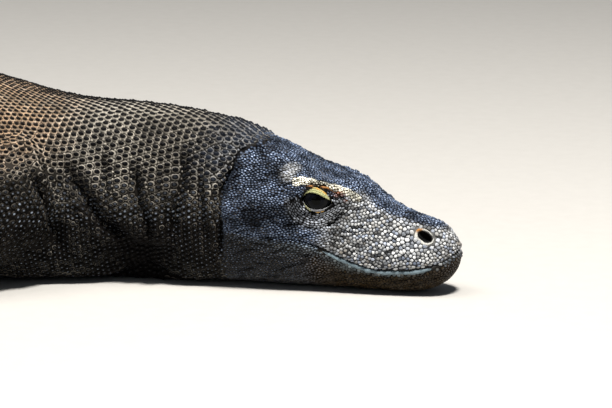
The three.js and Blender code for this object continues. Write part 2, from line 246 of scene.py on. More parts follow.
def distance_to(points, path):
    """How far each point is from a path, and how far along it the nearest place lies, 0 to 1.

    Points farther away than PATH_REACH are all given that distance.
    """
    key = tuple(tuple(stop) for stop in path)
    if key not in DENSE_PATHS:
        DENSE_PATHS[key] = smooth_path(path, 5) if len(path) > 2 else np.array(path, float)
    dense = DENSE_PATHS[key]
    best = np.full(len(points), PATH_REACH)
    along = np.zeros(len(points))
    inside = np.all((points > dense.min(0) - PATH_REACH) & (points < dense.max(0) + PATH_REACH), axis=1)
    close = np.nonzero(inside)[0]
    if not len(close):
        return best, along
    starts, ways = dense[:-1], np.diff(dense, axis=0)
    squares = np.sum(ways**2, axis=1)
    lengths = np.sqrt(squares)
    before = np.concatenate([[0], np.cumsum(lengths)])
    for block in np.array_split(close, 1 + len(close) // 20000):
        near = points[block]
        toward = near @ ways.T - np.sum(starts * ways, axis=1)
        share = np.clip(toward / squares, 0, 1)
        apart = np.sum(near**2, axis=1)[:, None] - 2 * near @ starts.T + np.sum(starts**2, axis=1)
        apart = apart - share * (2 * toward - share * squares)
        pick = apart.argmin(1)
        row = np.arange(len(block))
        gap = np.sqrt(np.maximum(apart[row, pick], 0))
        best[block] = np.minimum(gap, PATH_REACH)
        along[block] = (before[pick] + share[row, pick] * lengths[pick]) / before[-1]
    return best, along


# ---------------------------------------------------------------- the bare skin

FLESH = [name for name in frame["nodes"] if "_eye" not in name and "_claw_" not in name]
CLOSE_GAPS = 0.5
VOXEL = 4.2
HEAD_END = 232
NECK_END = 425


def raw_skin():
    """The flesh nodes melted into one closed mesh."""
    bm = bmesh.new()
    for name in FLESH:
        part = bmesh.new()
        part.from_mesh(frame["nodes"][name].data)
        bmesh.ops.remove_doubles(part, verts=part.verts, dist=1e-5)
        part.normal_update()
        moved = [vert.co + vert.normal * CLOSE_GAPS * MM for vert in part.verts]
        for vert, co in zip(part.verts, moved):
            vert.co = co
        scratch = bpy.data.meshes.new("scratch")
        part.to_mesh(scratch)
        part.free()
        bm.from_mesh(scratch)
        bpy.data.meshes.remove(scratch)
    mesh = bpy.data.meshes.new("skin")
    bm.to_mesh(mesh)
    bm.free()
    holder = new_object("skin_raw", mesh)
    remesh = holder.modifiers.new("melt", "REMESH")
    remesh.mode = "VOXEL"
    remesh.voxel_size = VOXEL * MM
    melted = bpy.data.meshes.new_from_object(
        holder.evaluated_get(bpy.context.evaluated_depsgraph_get())
    )
    bpy.data.objects.remove(holder)
    return melted


def node_tree():
    """A search tree over the CAD flesh and the node that each of its faces belongs to."""
    verts, faces, owner = [], [], []
    for index, name in enumerate(FLESH):
        mesh = frame["nodes"][name].data
        base = len(verts)
        verts += [vert.co.copy() for vert in mesh.vertices]
        for poly in mesh.polygons:
            faces.append([base + corner for corner in poly.vertices])
            owner.append(index)
    return BVHTree.FromPolygons(verts, faces), np.array(owner)


CAD_TREE, CAD_OWNER = node_tree()


def owners(points):
    """The index in FLESH of the node nearest each point."""
    return np.array([CAD_OWNER[CAD_TREE.find_nearest(Vector(p))[2]] for p in points * MM])


def is_named(owner, *words):
    wanted = [any(word in name for word in words) for name in FLESH]
    return np.array(wanted)[owner]


# ---------------------------------------------------------------- the head's features
# Paths are (back, out, up), given for one side and used on both.

MOUTH = [
    (0.6, 2, 41), (3.4, 11, 39), (8.6, 18.8, 35.3), (16.3, 24.5, 31.4), (26.6, 27.6, 28.2),
    (40, 29.5, 25.8), (57.7, 32.7, 24.6), (73.9, 34.8, 25), (89.2, 37.2, 29.6), (102.6, 39.4, 35),
    (115.9, 42, 41.5), (127.4, 44.3, 46.2), (138, 46.6, 48.7), (151, 49.8, 50.8),
    (178, 54.6, 53.1), (203, 56.7, 57.8),
]
BROW_EDGE = [
    (140, 44, 98), (136.3, 43.9, 99), (130.6, 43.3, 99.9), (125.1, 42.7, 100),
    (119.7, 42.3, 99.7), (113.6, 40.9, 97.9), (108.4, 39.5, 94.7), (103.2, 38.1, 91.1),
    (98, 35.6, 87),
]
BROW_BAND = [
    (143, 43, 103.4), (134.8, 41.9, 104.6), (128.8, 40.6, 103.8), (120.3, 40.2, 102.2),
    (113.4, 36.4, 100.2), (106.8, 33.7, 98), (100.8, 31.7, 95.4), (94.5, 30.4, 92.2),
    (89, 29.6, 88.6),
]
PALE_PATCH = [(152, 41, 108), (151, 36.5, 112.5), (148, 31, 116)]
PREOCULAR = [
    (93.1, 34.3, 84.6), (97.8, 37.1, 79.4), (102.7, 39.4, 74), (107, 40.7, 68.5), (115, 43, 62),
]
TEMPLE_EDGE = [
    (203, 50, 113), (198.1, 46.2, 123.3), (193.9, 38.8, 128.6), (187.7, 31.8, 130.4),
    (179.3, 25.7, 128.9), (168.6, 23.2, 125.4), (157.9, 24, 120.7), (147, 28.2, 114.8),
]
SNOUT_SHELF = [
    (99.6, 40.4, 57.9), (94, 39.8, 53.6), (84.5, 37.5, 52.8), (74, 35.1, 51.2), (63.3, 33, 48.8),
    (53.6, 31.1, 47.2),
]
JAW_FOLD = [
    (213, 55, 34), (211.1, 56.8, 58.3), (211.5, 55.5, 92), (206, 52.4, 105), (199.5, 47.8, 118.3),
    (195.5, 40.5, 127.9), (187.7, 31.8, 130.4), (180, 26, 129),
]
NECK_FOLDS = [
    # path, depth, width
    ([(231, 50, 116), (228, 57.7, 79), (224, 56.5, 51), (224, 56, 34)], 3.2, 3.4),
    ([(246, 46, 130), (245.5, 56.4, 107.6), (247.6, 61.7, 87.4), (251.8, 64.1, 69.1),
      (255, 63.7, 50.4), (256, 62, 34)], 10.0, 4.8),
    ([(268, 56, 112), (266, 64, 84), (263, 64, 62)], 2.8, 4.0),
    ([(292.3, 61.2, 116.9), (288.7, 66.2, 97.7), (284.5, 67.7, 77.1), (278.1, 66.9, 58.8),
      (276, 66, 38)], 7.0, 5.0),
    ([(321, 62.6, 124.8), (317.7, 70.2, 106), (315.6, 73.7, 88.4), (309.9, 73.9, 67.5)], 4.5, 4.6),
    ([(357.7, 80.4, 116.9), (343.2, 81, 99.4), (325, 78.5, 72.2), (310.4, 73.1, 53.4),
      (285.9, 65, 36.5)], 11.0, 6.4),
    ([(374, 96, 130), (362, 92, 106), (346, 86, 80), (334, 82, 50)], 4.0, 5.0),
    ([(379.4, 114.8, 115), (366.4, 110.6, 99.4), (357.7, 108, 85.6), (356.4, 89.7, 49.6),
      (355.9, 84, 27)], 10.0, 5.6),
]
NECK_RIDGES = [
    ([(238, 50, 116), (238, 60, 80), (240, 60, 44)], 2.6, 4.5),
    ([(338, 76, 116), (324, 76, 92), (304, 72, 62)], 2.4, 7.0),
    ([(274, 62, 84), (269, 67, 62), (266, 68, 46)], 3.6, 6.0),
    ([(354, 86, 100), (340, 84, 74), (322, 78, 48)], 3.4, 6.0),
]
CHEEK_FOLDS = [
    ([(148, 49, 84), (160, 51, 88), (172, 52, 92), (186, 50, 94)], 1.3, 3.0),
    ([(138, 50, 70), (152, 54, 70), (168, 56, 73), (184, 58, 78)], 1.1, 2.8),
    ([(104, 43, 57), (122, 46, 60), (140, 50, 63), (160, 55, 65), (182, 57, 67)], 1.5, 2.6),
    ([(150, 54, 48), (170, 57, 44), (192, 58, 44), (206, 57, 48)], 1.8, 3.2),
    ([(112, 42, 34), (134, 46, 36), (158, 52, 38)], 1.2, 3.0),
]
MOUTH_LINE = ([p[0] for p in MOUTH], [p[2] for p in MOUTH])
NOSTRIL = {"at": (29.0, 21.8, 55.3), "long": 7.0, "short": 3.7, "tilt": math.radians(30)}
# The innermost and the outermost fold under the eye, as (behind, above) its centre.
EYE_FOLDS = (
    [(16.4, 1.6), (14.8, -4.4), (10.2, -8.8), (4.4, -11.6), (-2, -12.6), (-8.4, -11), (-14.6, -7.8),
     (-21, -4)],
    [(25, -4), (21, -13.6), (13, -20.4), (4, -23.6), (-5, -23.4), (-13.6, -19.6), (-21.2, -14.2),
     (-26.2, -9.6)],
)
EYE_FOLD_COUNT = 7
EYE_FOLD_PITCH = 1.9
LID_THICK = 1.3
EYE_CORNERS = ((-14.6, -2.2), (12.6, 0.8))
LID_RISE = {"upper": 8.6, "lower": -8.0}
LIP_BACK = (14, 124)


def groove(points, path, width, fade=0.12):
    """1 along the middle of a path, falling away to its sides and at its ends."""
    gap, along = distance_to(points, path)
    ends = smoothstep(along, 0, fade) * smoothstep(1 - along, 0, fade)
    return bell(gap, 0, width) * (0.15 + 0.85 * ends)


def lid_edge(u, which):
    """Height of a lid's edge over the eye's centre, at u behind it."""
    (front, front_up), (rear, rear_up) = EYE_CORNERS
    share = np.clip((u - front) / (rear - front), 0, 1)
    tilt = front_up + (rear_up - front_up) * share
    bow = np.clip(1 - (2 * share - 1) ** 2, 0, 1) ** 0.72
    return tilt + LID_RISE[which] * bow * (1 + 0.12 * (2 * share - 1))


class Eye:
    """One eye's ball, and directions along the head there."""

    def __init__(self, side):
        low, high = node_box(f"{side}_eye")
        self.sign = 1 if side == "right" else -1
        self.centre = (low + high) / 2
        self.radius = (high[2] - low[2]) / 2
        back = SPINE.locate(self.centre[None])[0, 0]
        self.rear = np.array([*SPINE.rearward(back), 0])
        self.out = np.array([*SPINE.rightward(back), 0]) * self.sign
        self.up = np.array([0.0, 0, 1])

    def local(self, points):
        away = points - self.centre
        return away @ self.rear, away @ self.up, away @ self.out

    def world(self, u, w, q):
        u, w, q = (np.asarray(value)[..., None] for value in (u, w, q))
        return self.centre + u * self.rear + w * self.up + q * self.out


EYES = [Eye("right"), Eye("left")]


def eye_distance(points):
    """How far each point is from the nearer eye's centre."""
    return np.minimum(*[np.linalg.norm(points - eye.centre, axis=1) for eye in EYES])


def eye_opening(u, w):
    """Above 0 inside the opening between the lids, below 0 outside, roughly in millimetres."""
    (front, _), (rear, _) = EYE_CORNERS
    inside = np.minimum(lid_edge(u, "upper") - w, w - lid_edge(u, "lower"))
    return np.minimum(inside, np.minimum(u - front, rear - u))


def eye_folds():
    """The fine folds of skin under and before the eye, as (u, w) paths round it."""
    near, far = (smooth_path(edge, 8) for edge in EYE_FOLDS)
    return [near + (far - near) * k / (EYE_FOLD_COUNT - 1) for k in range(EYE_FOLD_COUNT)]


def sculpt_eye(co, eye):
    """Wraps the skin around the ball: lids outside the opening, a pocket inside it."""
    u, w, q = eye.local(co)
    close = (np.hypot(u, w) < 24) & (q > 0)
    u, w, q = u[close], w[close], q[close]
    inside = eye_opening(u, w)
    flat = u**2 + w**2
    ball = np.sqrt(np.maximum(eye.radius**2 - flat, 0))
    lid = np.sqrt(np.maximum((eye.radius + LID_THICK) ** 2 - flat, 0))
    blend = 2.2
    wrapped = np.logaddexp(q / blend, lid / blend) * blend
    wrapped = np.where(lid > 0, wrapped, q)
    socket = 1.2 * bell(np.hypot(u, w + 1), 16, 2.2)
    outside = wrapped - socket
    pocket = np.maximum(ball - 1.6, q - 7)
    share = smoothstep(inside, -0.35, 0.35)
    moved = outside * (1 - share) + pocket * share
    co = co.copy()
    co[close] = eye.world(u, w, moved)
    return co


def nostril_place(points):
    """Distance from the nostril's middle in units of its half width, and the raw offsets."""
    back, _, up = NOSTRIL["at"]
    ahead = back - points[:, 0]
    above = points[:, 2] - up
    tilt = NOSTRIL["tilt"]
    along = ahead * math.cos(tilt) - above * math.sin(tilt)
    across = ahead * math.sin(tilt) + above * math.cos(tilt)
    reach = np.hypot(along / NOSTRIL["long"], across / NOSTRIL["short"])
    facing = np.abs(points[:, 1]) > 9
    return np.where(facing, reach, 9.0), across


def mirrored(where):
    """(back, out, up) with both sides measured as the right side."""
    flipped = where.copy()
    flipped[:, 1] = np.abs(flipped[:, 1])
    return flipped


SNOUT_FURROW = 1.25
CHEEK_FURROW = 0.95


def wrinkles(points):
    """Depth of the furrows that run along the snout's rows and across the cheek."""
    back, out, up = points.T
    above = smoothstep(up - np.interp(back, *MOUTH_LINE), 3, 7)
    snout = smoothstep(back, 30, 62) * (1 - smoothstep(back, 106, 120)) * smoothstep(out, 16, 22)
    slanting = np.cos(snout_rows(points) / 2 + 0.7 * np.sin(back * 0.3) + 0.5 * np.sin(up * 0.35))
    cheek = smoothstep(back, 122, 136) * (1 - smoothstep(back, 196, 208)) * smoothstep(out, 22, 34)
    level = np.cos((up + 0.22 * back + 2.2 * np.sin(back * 0.09)) * 2 * math.pi / 6.4 + np.sin(back * 0.16))
    broken = 0.55 + 0.45 * np.sin(back * 0.21 + up * 0.33)
    rows = SNOUT_FURROW * above * snout * smoothstep(slanting, -0.2, 1) * broken
    return rows + CHEEK_FURROW * cheek * smoothstep(level, -0.2, 1) * broken


# Ridges (+) and grooves (-) of the head: height, path, width, and how far the path is shifted.
HEAD_LINES = [
    (-2.2, BROW_EDGE, 1.5, (0, 0, 0)),
    (1.5, BROW_BAND, 3.6, (0, 0, 0)),
    (-2.8, PREOCULAR, 2.0, (0, 0, 0)),
    (1.2, PREOCULAR, 3.4, (6, 0, 3.0)),
    (-1.8, TEMPLE_EDGE, 2.6, (0, 0, 0)),
    (1.5, TEMPLE_EDGE, 4.0, (2, 0, 5.0)),
    (1.3, SNOUT_SHELF, 2.2, (0, 0, 0)),
    (-1.0, SNOUT_SHELF, 2.2, (0, 0, -4.5)),
    (-0.9, SNOUT_SHELF, 2.0, (0, 0, 4.5)),
]
# The groove of the mouth and the lips over and under it: height, width, and shift upwards.
MOUTH_GROOVE = (-2.3, 1.15)
LIP_RIDGES = [(1.1, 3.4, -4.2), (0.9, 3.0, 4.6)]


def head_relief(points):
    """How far the skin stands out (+) or in (-) at each place, before the eyes and nostrils."""
    back, out, up = points.T
    rise = np.zeros(len(points))
    mouth, along = distance_to(points, MOUTH)
    soft = 1 - smoothstep(along, 0.66, 0.95)
    depth, width = MOUTH_GROOVE
    rise += depth * bell(mouth, 0, width) * (0.3 + 0.7 * soft)
    for height, width, shift in LIP_RIDGES:
        rise += height * soft * bell(distance_to(points + np.array([0, 0, shift]), MOUTH)[0], 0, width)
    for height, path, width, shift in HEAD_LINES:
        rise += height * groove(points + np.array(shift), path, width)
    lumps = np.sin(back * 0.47 + up * 0.31 + 1.3 * np.sin(out * 0.21))
    lumps = lumps * np.sin(up * 0.52 - back * 0.23 + 0.7)
    face = (1 - smoothstep(back, 108, 124)) * smoothstep(out, 12, 18) * smoothstep(back, 6, 20)
    rise += 0.8 * lumps * face
    rise += 0.5 * lumps * (1 - face) * (back < 212) * smoothstep(out, 20, 30)
    rise -= wrinkles(points)
    fold, along = distance_to(points, JAW_FOLD)
    depth = 8.5 - 5.0 * smoothstep(along, 0.5, 1)
    rise -= depth * bell(fold, 0, 3.0)
    rise += 2.4 * bell(back, 197, 9) * bell(up, 78, 34) * (out > 30)
    rise += 1.6 * bell(back, 172, 16) * bell(up, 82, 15) * (out > 30)
    for path, deep, wide in CHEEK_FOLDS:
        rise -= deep * groove(points, path, wide, 0.3)
    rise -= 1.8 * bell(back, 158, 13) * bell(up, 104, 11) * (out > 25)
    rise -= 0.8 * bell(back, 66, 22) * bell(up, 60, 12) * (out > 18)
    rise += 0.7 * bell(out, 0, 4) * smoothstep(back, 20, 40) * (1 - smoothstep(back, 90, 130)) * (up > 50)
    ring, across = nostril_place(points)
    rim = bell(ring, 1.45, 0.38)
    rise += rim * np.where(across < 0, 1.3, 0.7)
    return rise


ROW_PITCH = 3.3


def snout_rows(points):
    """The phase of the rows of snout scales: level near the lip, slanting up towards the nose above it."""
    back, _, up = points.T
    above = up - np.interp(back, *MOUTH_LINE)
    slant = 0.013 * above * (np.clip(back, 45, 112) - 74)
    return 2 * math.pi * (above + slant + 0.8 * np.sin(back * 0.11)) / ROW_PITCH


def neck_relief(points):
    back, out, up = points.T
    rise = np.zeros(len(points))
    for path, depth, width in NECK_FOLDS:
        rise -= 1.15 * depth * groove(points, path, width, 0.25)
    for path, height, width in NECK_RIDGES:
        rise += height * groove(points, path, width, 0.25)
    hollow = bell(back, 288, 26) * smoothstep(-up, -46, -30) * (out > 40)
    rise -= 16 * hollow
    pleats = np.sin(back * 2 * math.pi / 17 + up * 0.05) * bell(up, 66, 34)
    rise += 1.1 * pleats * smoothstep(back, 228, 244) * (1 - smoothstep(back, 330, 372))
    overlap = bell(back, 221.5, 5.0) * smoothstep(up, 20, 60) * (out > 25)
    rise += 2.6 * overlap
    return rise


def limb_relief(where, owner):
    """Soft folds rippling over the legs, short of the hands and feet."""
    back, out, _ = where.T
    legs = is_named(owner, "arm", "thigh", "shank")
    ripple = np.sin(out * 2 * math.pi / 21 + back * 0.05) + np.sin(back * 2 * math.pi / 26)
    return np.where(legs, 0.5 * ripple, 0)


def trunk_relief(where, owner):
    back, out, up = where.T
    trunk = is_named(owner, "chest", "belly")
    flank = bell(up, 70, 45)
    folds = np.sin(back * 2 * math.pi / 38 + 0.8 * np.sin(up / 17) + np.sign(out))
    return np.where(trunk, 1.5 * flank * folds * smoothstep(back, 430, 560), 0)


def coat_depth(where, owner):
    """How far under the solids the skin lies, so that the scales come up to them."""
    depth = 1.9 + 1.5 * smoothstep(where[:, 0], 480, 640)
    depth[is_named(owner, "head", "jaw")] = 1.1
    depth[is_named(owner, "hand", "foot")] = 0.9
    return depth


SKIN_CLEAR = 0.9
NOSTRIL_DEPTH = 7.5


def make_skin():
    """The flesh smoothed, refined towards the head, sunk by the coat's depth and sculpted."""
    mesh = raw_skin()
    co = places(mesh)
    owner = owners(co)
    strength = np.full(len(co), 0.95)
    strength[is_named(owner, "head", "jaw")] = 0.42
    strength[is_named(owner, "hand", "foot")] = 0.3
    strength[is_named(owner, "tail_tip")] = 0.5
    edges = vertex_edges(mesh)
    blurred = relax(np.repeat(strength[:, None], 3, 1), edges, np.ones(len(co)), 12, 0, 0.5)
    strength = np.clip(blurred[:, 0], 0, 1)
    co = relax(co, edges, strength, 60)
    move(mesh, co)

    where = SPINE.locate(co)
    not_leg = ~is_named(owner, "arm", "hand", "thigh", "shank", "foot")
    subdivide(mesh, (where[:, 0] < NECK_END) & (not_leg | (where[:, 0] < 360)))
    co = places(mesh)
    where = SPINE.locate(co)
    co = relax(co, vertex_edges(mesh), (where[:, 0] < NECK_END) * 0.7, 8)
    move(mesh, co)
    where = SPINE.locate(co)
    subdivide(mesh, where[:, 0] < HEAD_END)
    co = places(mesh)
    fine = eye_distance(co) < 27
    where = mirrored(SPINE.locate(co))
    fine |= np.linalg.norm(where - np.array(NOSTRIL["at"]), axis=1) < 15
    move(mesh, co)
    subdivide(mesh, fine)
    co = places(mesh)
    where = SPINE.locate(co)
    co = relax(co, vertex_edges(mesh), (where[:, 0] < HEAD_END) * 0.8, 10)
    move(mesh, co)

    owner = owners(co)
    where = SPINE.locate(co)
    normal = read(mesh, "normal")
    rise = -coat_depth(where, owner) - CLOSE_GAPS
    front = where[:, 0] < NECK_END
    points = mirrored(where[front])
    rise[front] += head_relief(points) * (where[front, 0] < 240) + neck_relief(points)
    rise += limb_relief(where, owner) + trunk_relief(where, owner)
    co = co + normal * rise[:, None]

    ring, _ = nostril_place(mirrored(where))
    hole = np.clip(1 - ring**2, 0, 1) ** 0.4 * (ring < 1)
    co = co - normal * NOSTRIL_DEPTH * hole[:, None]
    for eye in EYES:
        co = sculpt_eye(co, eye)
    co[:, 2] = np.maximum(co[:, 2], SKIN_CLEAR)
    edges = vertex_edges(mesh)
    co = relax(co, edges, np.where(eye_distance(co) < 22, 0.0, 0.35), 2, 0, 0.5)
    move(mesh, co)
    mesh.polygons.foreach_set("use_smooth", np.ones(len(mesh.polygons), bool))
    return mesh


# ---------------------------------------------------------------- markings, shared by skin and coat

TOP_LINE = ([0, 30, 60, 74, 86, 104, 122, 142, 160, 200, 245, 300, 360, 395, 440, 520],
            [63, 69, 78, 86, 99, 102, 107, 116.5, 125.5, 140, 153, 158.5, 159.5, 162, 172, 186])


def behind_fold(points):
    """How far behind the fold at the back of the jaw a place lies."""
    up = points[:, 2]
    edge = 211.5 - 16 * smoothstep(up, 96, 128) - 9 * smoothstep(up, 126, 132)
    return points[:, 0] - edge


# The dark red patch before the eye: its middle, and how narrow it is each way.
RUSTY_CORNER = np.array([104.5, 38, 92.4])
RUSTY_SHAPE = np.array([0.8, 0.5, 1.3])


def zones(where, owner):
    """Soft masks, 0 to 1, for the differently coloured and scaled parts of the hide, and for painted shade
    and painted sunlight.
    """
    points = mirrored(where)
    back, _, up = points.T
    trunk_like = ~is_named(owner, "arm", "hand", "thigh", "shank", "foot")
    arm_top = smoothstep(up, 94, 126) * (back < 600)
    body_like = np.maximum(trunk_like, arm_top)
    soft = 2 + 16 * smoothstep(up, 128, 136)
    head = (1 - smoothstep(behind_fold(points), -soft, soft)) * trunk_like
    share = up / np.interp(back, *TOP_LINE)
    crown = head * smoothstep(share, 0.86, 0.95)
    near_mouth, along_mouth = distance_to(points, MOUTH)
    mouth_up = np.interp(back, *MOUTH_LINE)
    below = smoothstep(mouth_up - up, 0, 2.5)
    snout = head * (1 - smoothstep(back + (up - 60) * 0.40, 84, 128))
    snout = snout * (0.55 + 0.45 * smoothstep(back, 3, 24))
    far_side = np.where(where[:, 1:2] < 0, np.array([[0, -3.5, 2.0]]), 0)
    brow_gap = distance_to(points + far_side, BROW_BAND)[0] - 0.9 * smoothstep(back, 112, 132)
    crease_gap = distance_to(points + np.array([0, 0, 0.4]), BROW_EDGE)[0]
    corner_gap = np.linalg.norm((points - RUSTY_CORNER) * RUSTY_SHAPE, axis=1)
    behind = smoothstep(back, 76, 104)
    lip = bell(mouth_up - up, 3.0 + 3.5 * behind, 3.0 + 4.0 * behind) * bell(back, 72, 60)
    # Painted shade: dark bands along the jaw fold, the neck folds, the face's furrows and the hollow under
    # the neck.
    fold_shade = bell(distance_to(points, JAW_FOLD)[0], 0, 3.3)
    for path, depth, width in NECK_FOLDS:
        dark = 0.16 * depth * groove(points, path, 1.35 * width, 0.25)
        fold_shade = np.maximum(fold_shade, dark)
    furrow_shade = 0.80 * smoothstep(wrinkles(points), 0.32, 1.0) * head
    fold_shade = np.maximum(fold_shade, furrow_shade * (1 - crown))
    cavity_shade = bell(back, 288, 36) * smoothstep(-up, -66, -40)
    jaw = below * head
    # Painted shade on the lower jaw behind the mouth.
    low_jaw_shade = jaw * smoothstep(mouth_up - up, 1, 7) * smoothstep(back, 116, 146)
    patch = smoothstep(-distance_to(points, PALE_PATCH)[0], -10.5, 0.5) * head
    front = 1 - smoothstep(back, 430, 560)
    from_eye = np.hypot(back - EYE_BACK, up - EYES[0].centre[2])
    lid_ring = smoothstep(from_eye, 10, 13) * (1 - smoothstep(from_eye, 22, 31))
    lid_ring = lid_ring * smoothstep(EYES[0].centre[2] + 4 - up, 0, 7)
    chin = jaw * smoothstep(mouth_up - up, 4.0, 6.5) * (1 - smoothstep(back, 120, 150))
    tip_stain = 0.85 * (1 - smoothstep(back, 6, 32)) * bell(up, 41, 9)
    stained = np.maximum(tip_stain, 0.40 * bell(up - mouth_up, 3, 6) * (back < 112)) * snout
    rusty = np.maximum(bell(crease_gap, 0, 1.3), bell(corner_gap, 0, 3.2))
    # Painted shade: darker towards the bottom of the neck and body.
    low_side_shade = (1 - smoothstep(up, 14 + 44 * front, 60 + 50 * front)) * (1 - head)
    masks = {
        "slate": head * (1 - snout * (1 - crown)) * (1 - patch) * (1 - 0.88 * low_jaw_shade),
        "cream": np.maximum(snout * (1 - crown) * (1 - 0.95 * jaw), 0.6 * patch),
        "brow": smoothstep(-brow_gap, -4.6, -3.0) * head,
        "rusty": rusty * head * (1 - smoothstep(back, 128, 137)),
        "teal": lip * head * below,
        "umber": np.maximum(chin * (1 - 0.85 * lip), stained),
        "lidded": head * lid_ring * (1 - crown),
        # crease: painted shade in the folds, furrows and hollow.
        "crease": np.clip(np.maximum(fold_shade, cavity_shade), 0, 1) * trunk_like,
        # limb: the legs' own dark colour, darkest on the front legs as painted shade.
        "limb": (1 - body_like) * (1 - 0.5 * smoothstep(back, 560, 800)),
        # mouth: the mouth line, painted in shade by the finish.
        "mouth": bell(near_mouth, 0, 1.0) * (1 - smoothstep(along_mouth, 0.72, 1.0)),
        # painted sunlight: a pale warm net where sun falls on the shoulder top.
        "sun": smoothstep(back, 330, 410) * smoothstep(up, 95, 140) * (1 - smoothstep(back, 560, 1250)),
        "head": head,
        # under: painted shade on the low sides and the lower jaw.
        "under": np.maximum(low_side_shade, 0.45 * low_jaw_shade),
        "far_back": smoothstep(back, 480, 700),
    }
    masks["sun"] = masks["sun"] * body_like
    nape = (1 - head) * (1 - smoothstep(behind_fold(points), 6, 70))
    masks["nape"] = nape * smoothstep(up, 84, 130) * trunk_like
    ring, _ = nostril_place(points)
    nostril_back, _, nostril_up = NOSTRIL["at"]
    # The nostril's opening, painted in shade by the finish.
    masks["hole"] = 1 - smoothstep(ring, 1.02, 1.22)
    behind_it = smoothstep(back - nostril_back, 0.5, 4.5)
    masks["stain"] = behind_it * smoothstep(up - nostril_up, 2.0, 5.5)
    masks["rim"] = bell(ring, 1.35, 0.42) * head
    return masks


MASK_NAMES = [
    "head", "lidded", "slate", "cream", "brow", "rusty", "teal", "umber", "mouth", "sun", "nape",
    "under", "far_back", "limb", "crease", "hole", "rim", "stain",
]


def scale_plan(where, owner):
    """For each place: scale spacing, how drawn out lengthwise, and plate-like (1) or bead-like (0)."""
    masks = zones(where, owner)
    back, _, up = mirrored(where).T
    trunk = smoothstep(back, 440, 620)
    low = 1 - smoothstep(up, 62, 104)
    neck = 6.9 - 2.2 * low + 0.5 * smoothstep(up, 110, 140)
    shoulder = bell(back, 425, 52) * smoothstep(up, 70, 120)
    neck = neck - 1.4 * shoulder
    spacing = neck * (1 - trunk) + 8.8 * trunk
    tail = smoothstep(back, 1300, 2250)
    spacing = spacing - 3.4 * tail
    bottom = 1 - smoothstep(up, 3, 12)
    spacing = spacing + 2.5 * bottom * (back > 240)
    legs = is_named(owner, "arm", "thigh", "shank")
    feet = is_named(owner, "hand", "foot")
    front_arm = legs & (back < 430)
    spacing[legs] = 7.0
    spacing[front_arm] = (4.6 + 1.4 * smoothstep(up, 90, 124))[front_arm]
    spacing[feet] = 4.6
    head = masks["head"]
    cheek = head * smoothstep(back, 100, 122)
    ripple = np.sin(back * 0.71 + up * 0.43) + np.sin(back * 0.39 - up * 0.83 + 1.7)
    mouth_gap = up - np.interp(back, *MOUTH_LINE)
    nose_like = bell(back, 38, 26) * smoothstep(mouth_gap, 6, 16)
    head_spacing = 2.72 + 0.15 * ripple - 0.38 * cheek + 1.05 * nose_like
    crown = masks["slate"] * smoothstep(up / np.interp(back, *TOP_LINE), 0.86, 0.95)
    head_spacing = head_spacing + (2.6 - head_spacing) * crown
    jaw_under = smoothstep(-mouth_gap, 5, 9) * (1 - crown)
    head_spacing = head_spacing * (1 - jaw_under) + 2.35 * jaw_under
    near_eye = 1 - smoothstep(eye_distance(world(where)), 17, 28)
    head_spacing = head_spacing * (1 - 0.16 * near_eye)
    brow = smoothstep(masks["brow"], 0.2, 0.4)
    head_spacing = head_spacing * (1 - brow) + 2.0 * brow
    spacing = spacing + (head_spacing - spacing) * head
    lips = bell(mouth_gap, 0, 4.5) * (back < 130)
    drawn = 0.45 * cheek * (1 - near_eye) * (1 - crown) + 0.6 * lips
    stretch = 1 + 0.12 * (1 - head) + head * drawn
    plate = head * (0.9 - 0.40 * cheek)
    height = (0.34 - 0.02 * head - 0.10 * jaw_under * head) * spacing
    height = height * (1 - 0.6 * bottom)
    return spacing, stretch, plate, height, masks


def world(where):
    level = SPINE.at(where[:, 0]) + SPINE.rightward(where[:, 0]) * where[:, 1:2]
    return np.column_stack([level, where[:, 2]])


# ---------------------------------------------------------------- scales


def skin_tree(mesh):
    co = places(mesh)
    faces = [list(poly.vertices) for poly in mesh.polygons]
    return BVHTree.FromPolygons([Vector(p) for p in co], faces)


def settle(points, tree):
    """The nearest places on the skin, and its normals there."""
    found = [tree.find_nearest(Vector(p))[:2] for p in points]
    return np.array([hit[0] for hit in found]), np.array([hit[1] for hit in found])


def limb_ways():
    """The way each leg node's scales lie: along the node, away from the body."""
    ways = {}
    for index, name in enumerate(FLESH):
        if not any(word in name for word in ("arm", "hand", "thigh", "shank", "foot")):
            continue
        co = places(frame["nodes"][name].data)
        middle = co.mean(0)
        axis = np.linalg.svd(co - middle, full_matrices=False)[2][0]
        side = name.split("_")[0]
        after = {"upper_arm": "forearm", "forearm": "hand", "thigh": "shank", "shank": "foot"}
        part = name[len(side) + 1:]
        target = after.get(part)
        if target:
            ahead = places(frame["nodes"][f"{side}_{target}"].data).mean(0) - middle
        else:
            claws = [n for n in frame["nodes"] if n.startswith(f"{side}_{part}_claw_")]
            ahead = np.mean([places(frame["nodes"][n].data).mean(0) for n in claws], axis=0) - middle
            axis = unit(ahead)
        ways[index] = (middle, axis * (1 if axis @ ahead > 0 else -1), target is None)
    return ways


LIMB_WAYS = limb_ways()


def lie_of(points, where, owner, normal):
    """The way the coat lies at each place: towards the tail, and down each leg to the toes."""
    lie = np.column_stack([SPINE.rearward(where[:, 0]), np.zeros(len(points))])
    for index, (middle, axis, toes) in LIMB_WAYS.items():
        mine = owner == index
        if toes:
            lie[mine] = unit(points[mine] - (middle - axis * 60))
        else:
            lie[mine] = axis
    lie = lie - normal * np.sum(lie * normal, axis=1, keepdims=True)
    weak = np.linalg.norm(lie, axis=1) < 0.15
    spare = np.cross(normal, np.array([0.0, 1, 0]))
    lie[weak] = spare[weak]
    return unit(lie)


def row_spacing(where):
    """The spacing of the rows' scales, as on the belly, at each place."""
    return scale_plan(where, np.full(len(where), FLESH.index("belly")))[0]


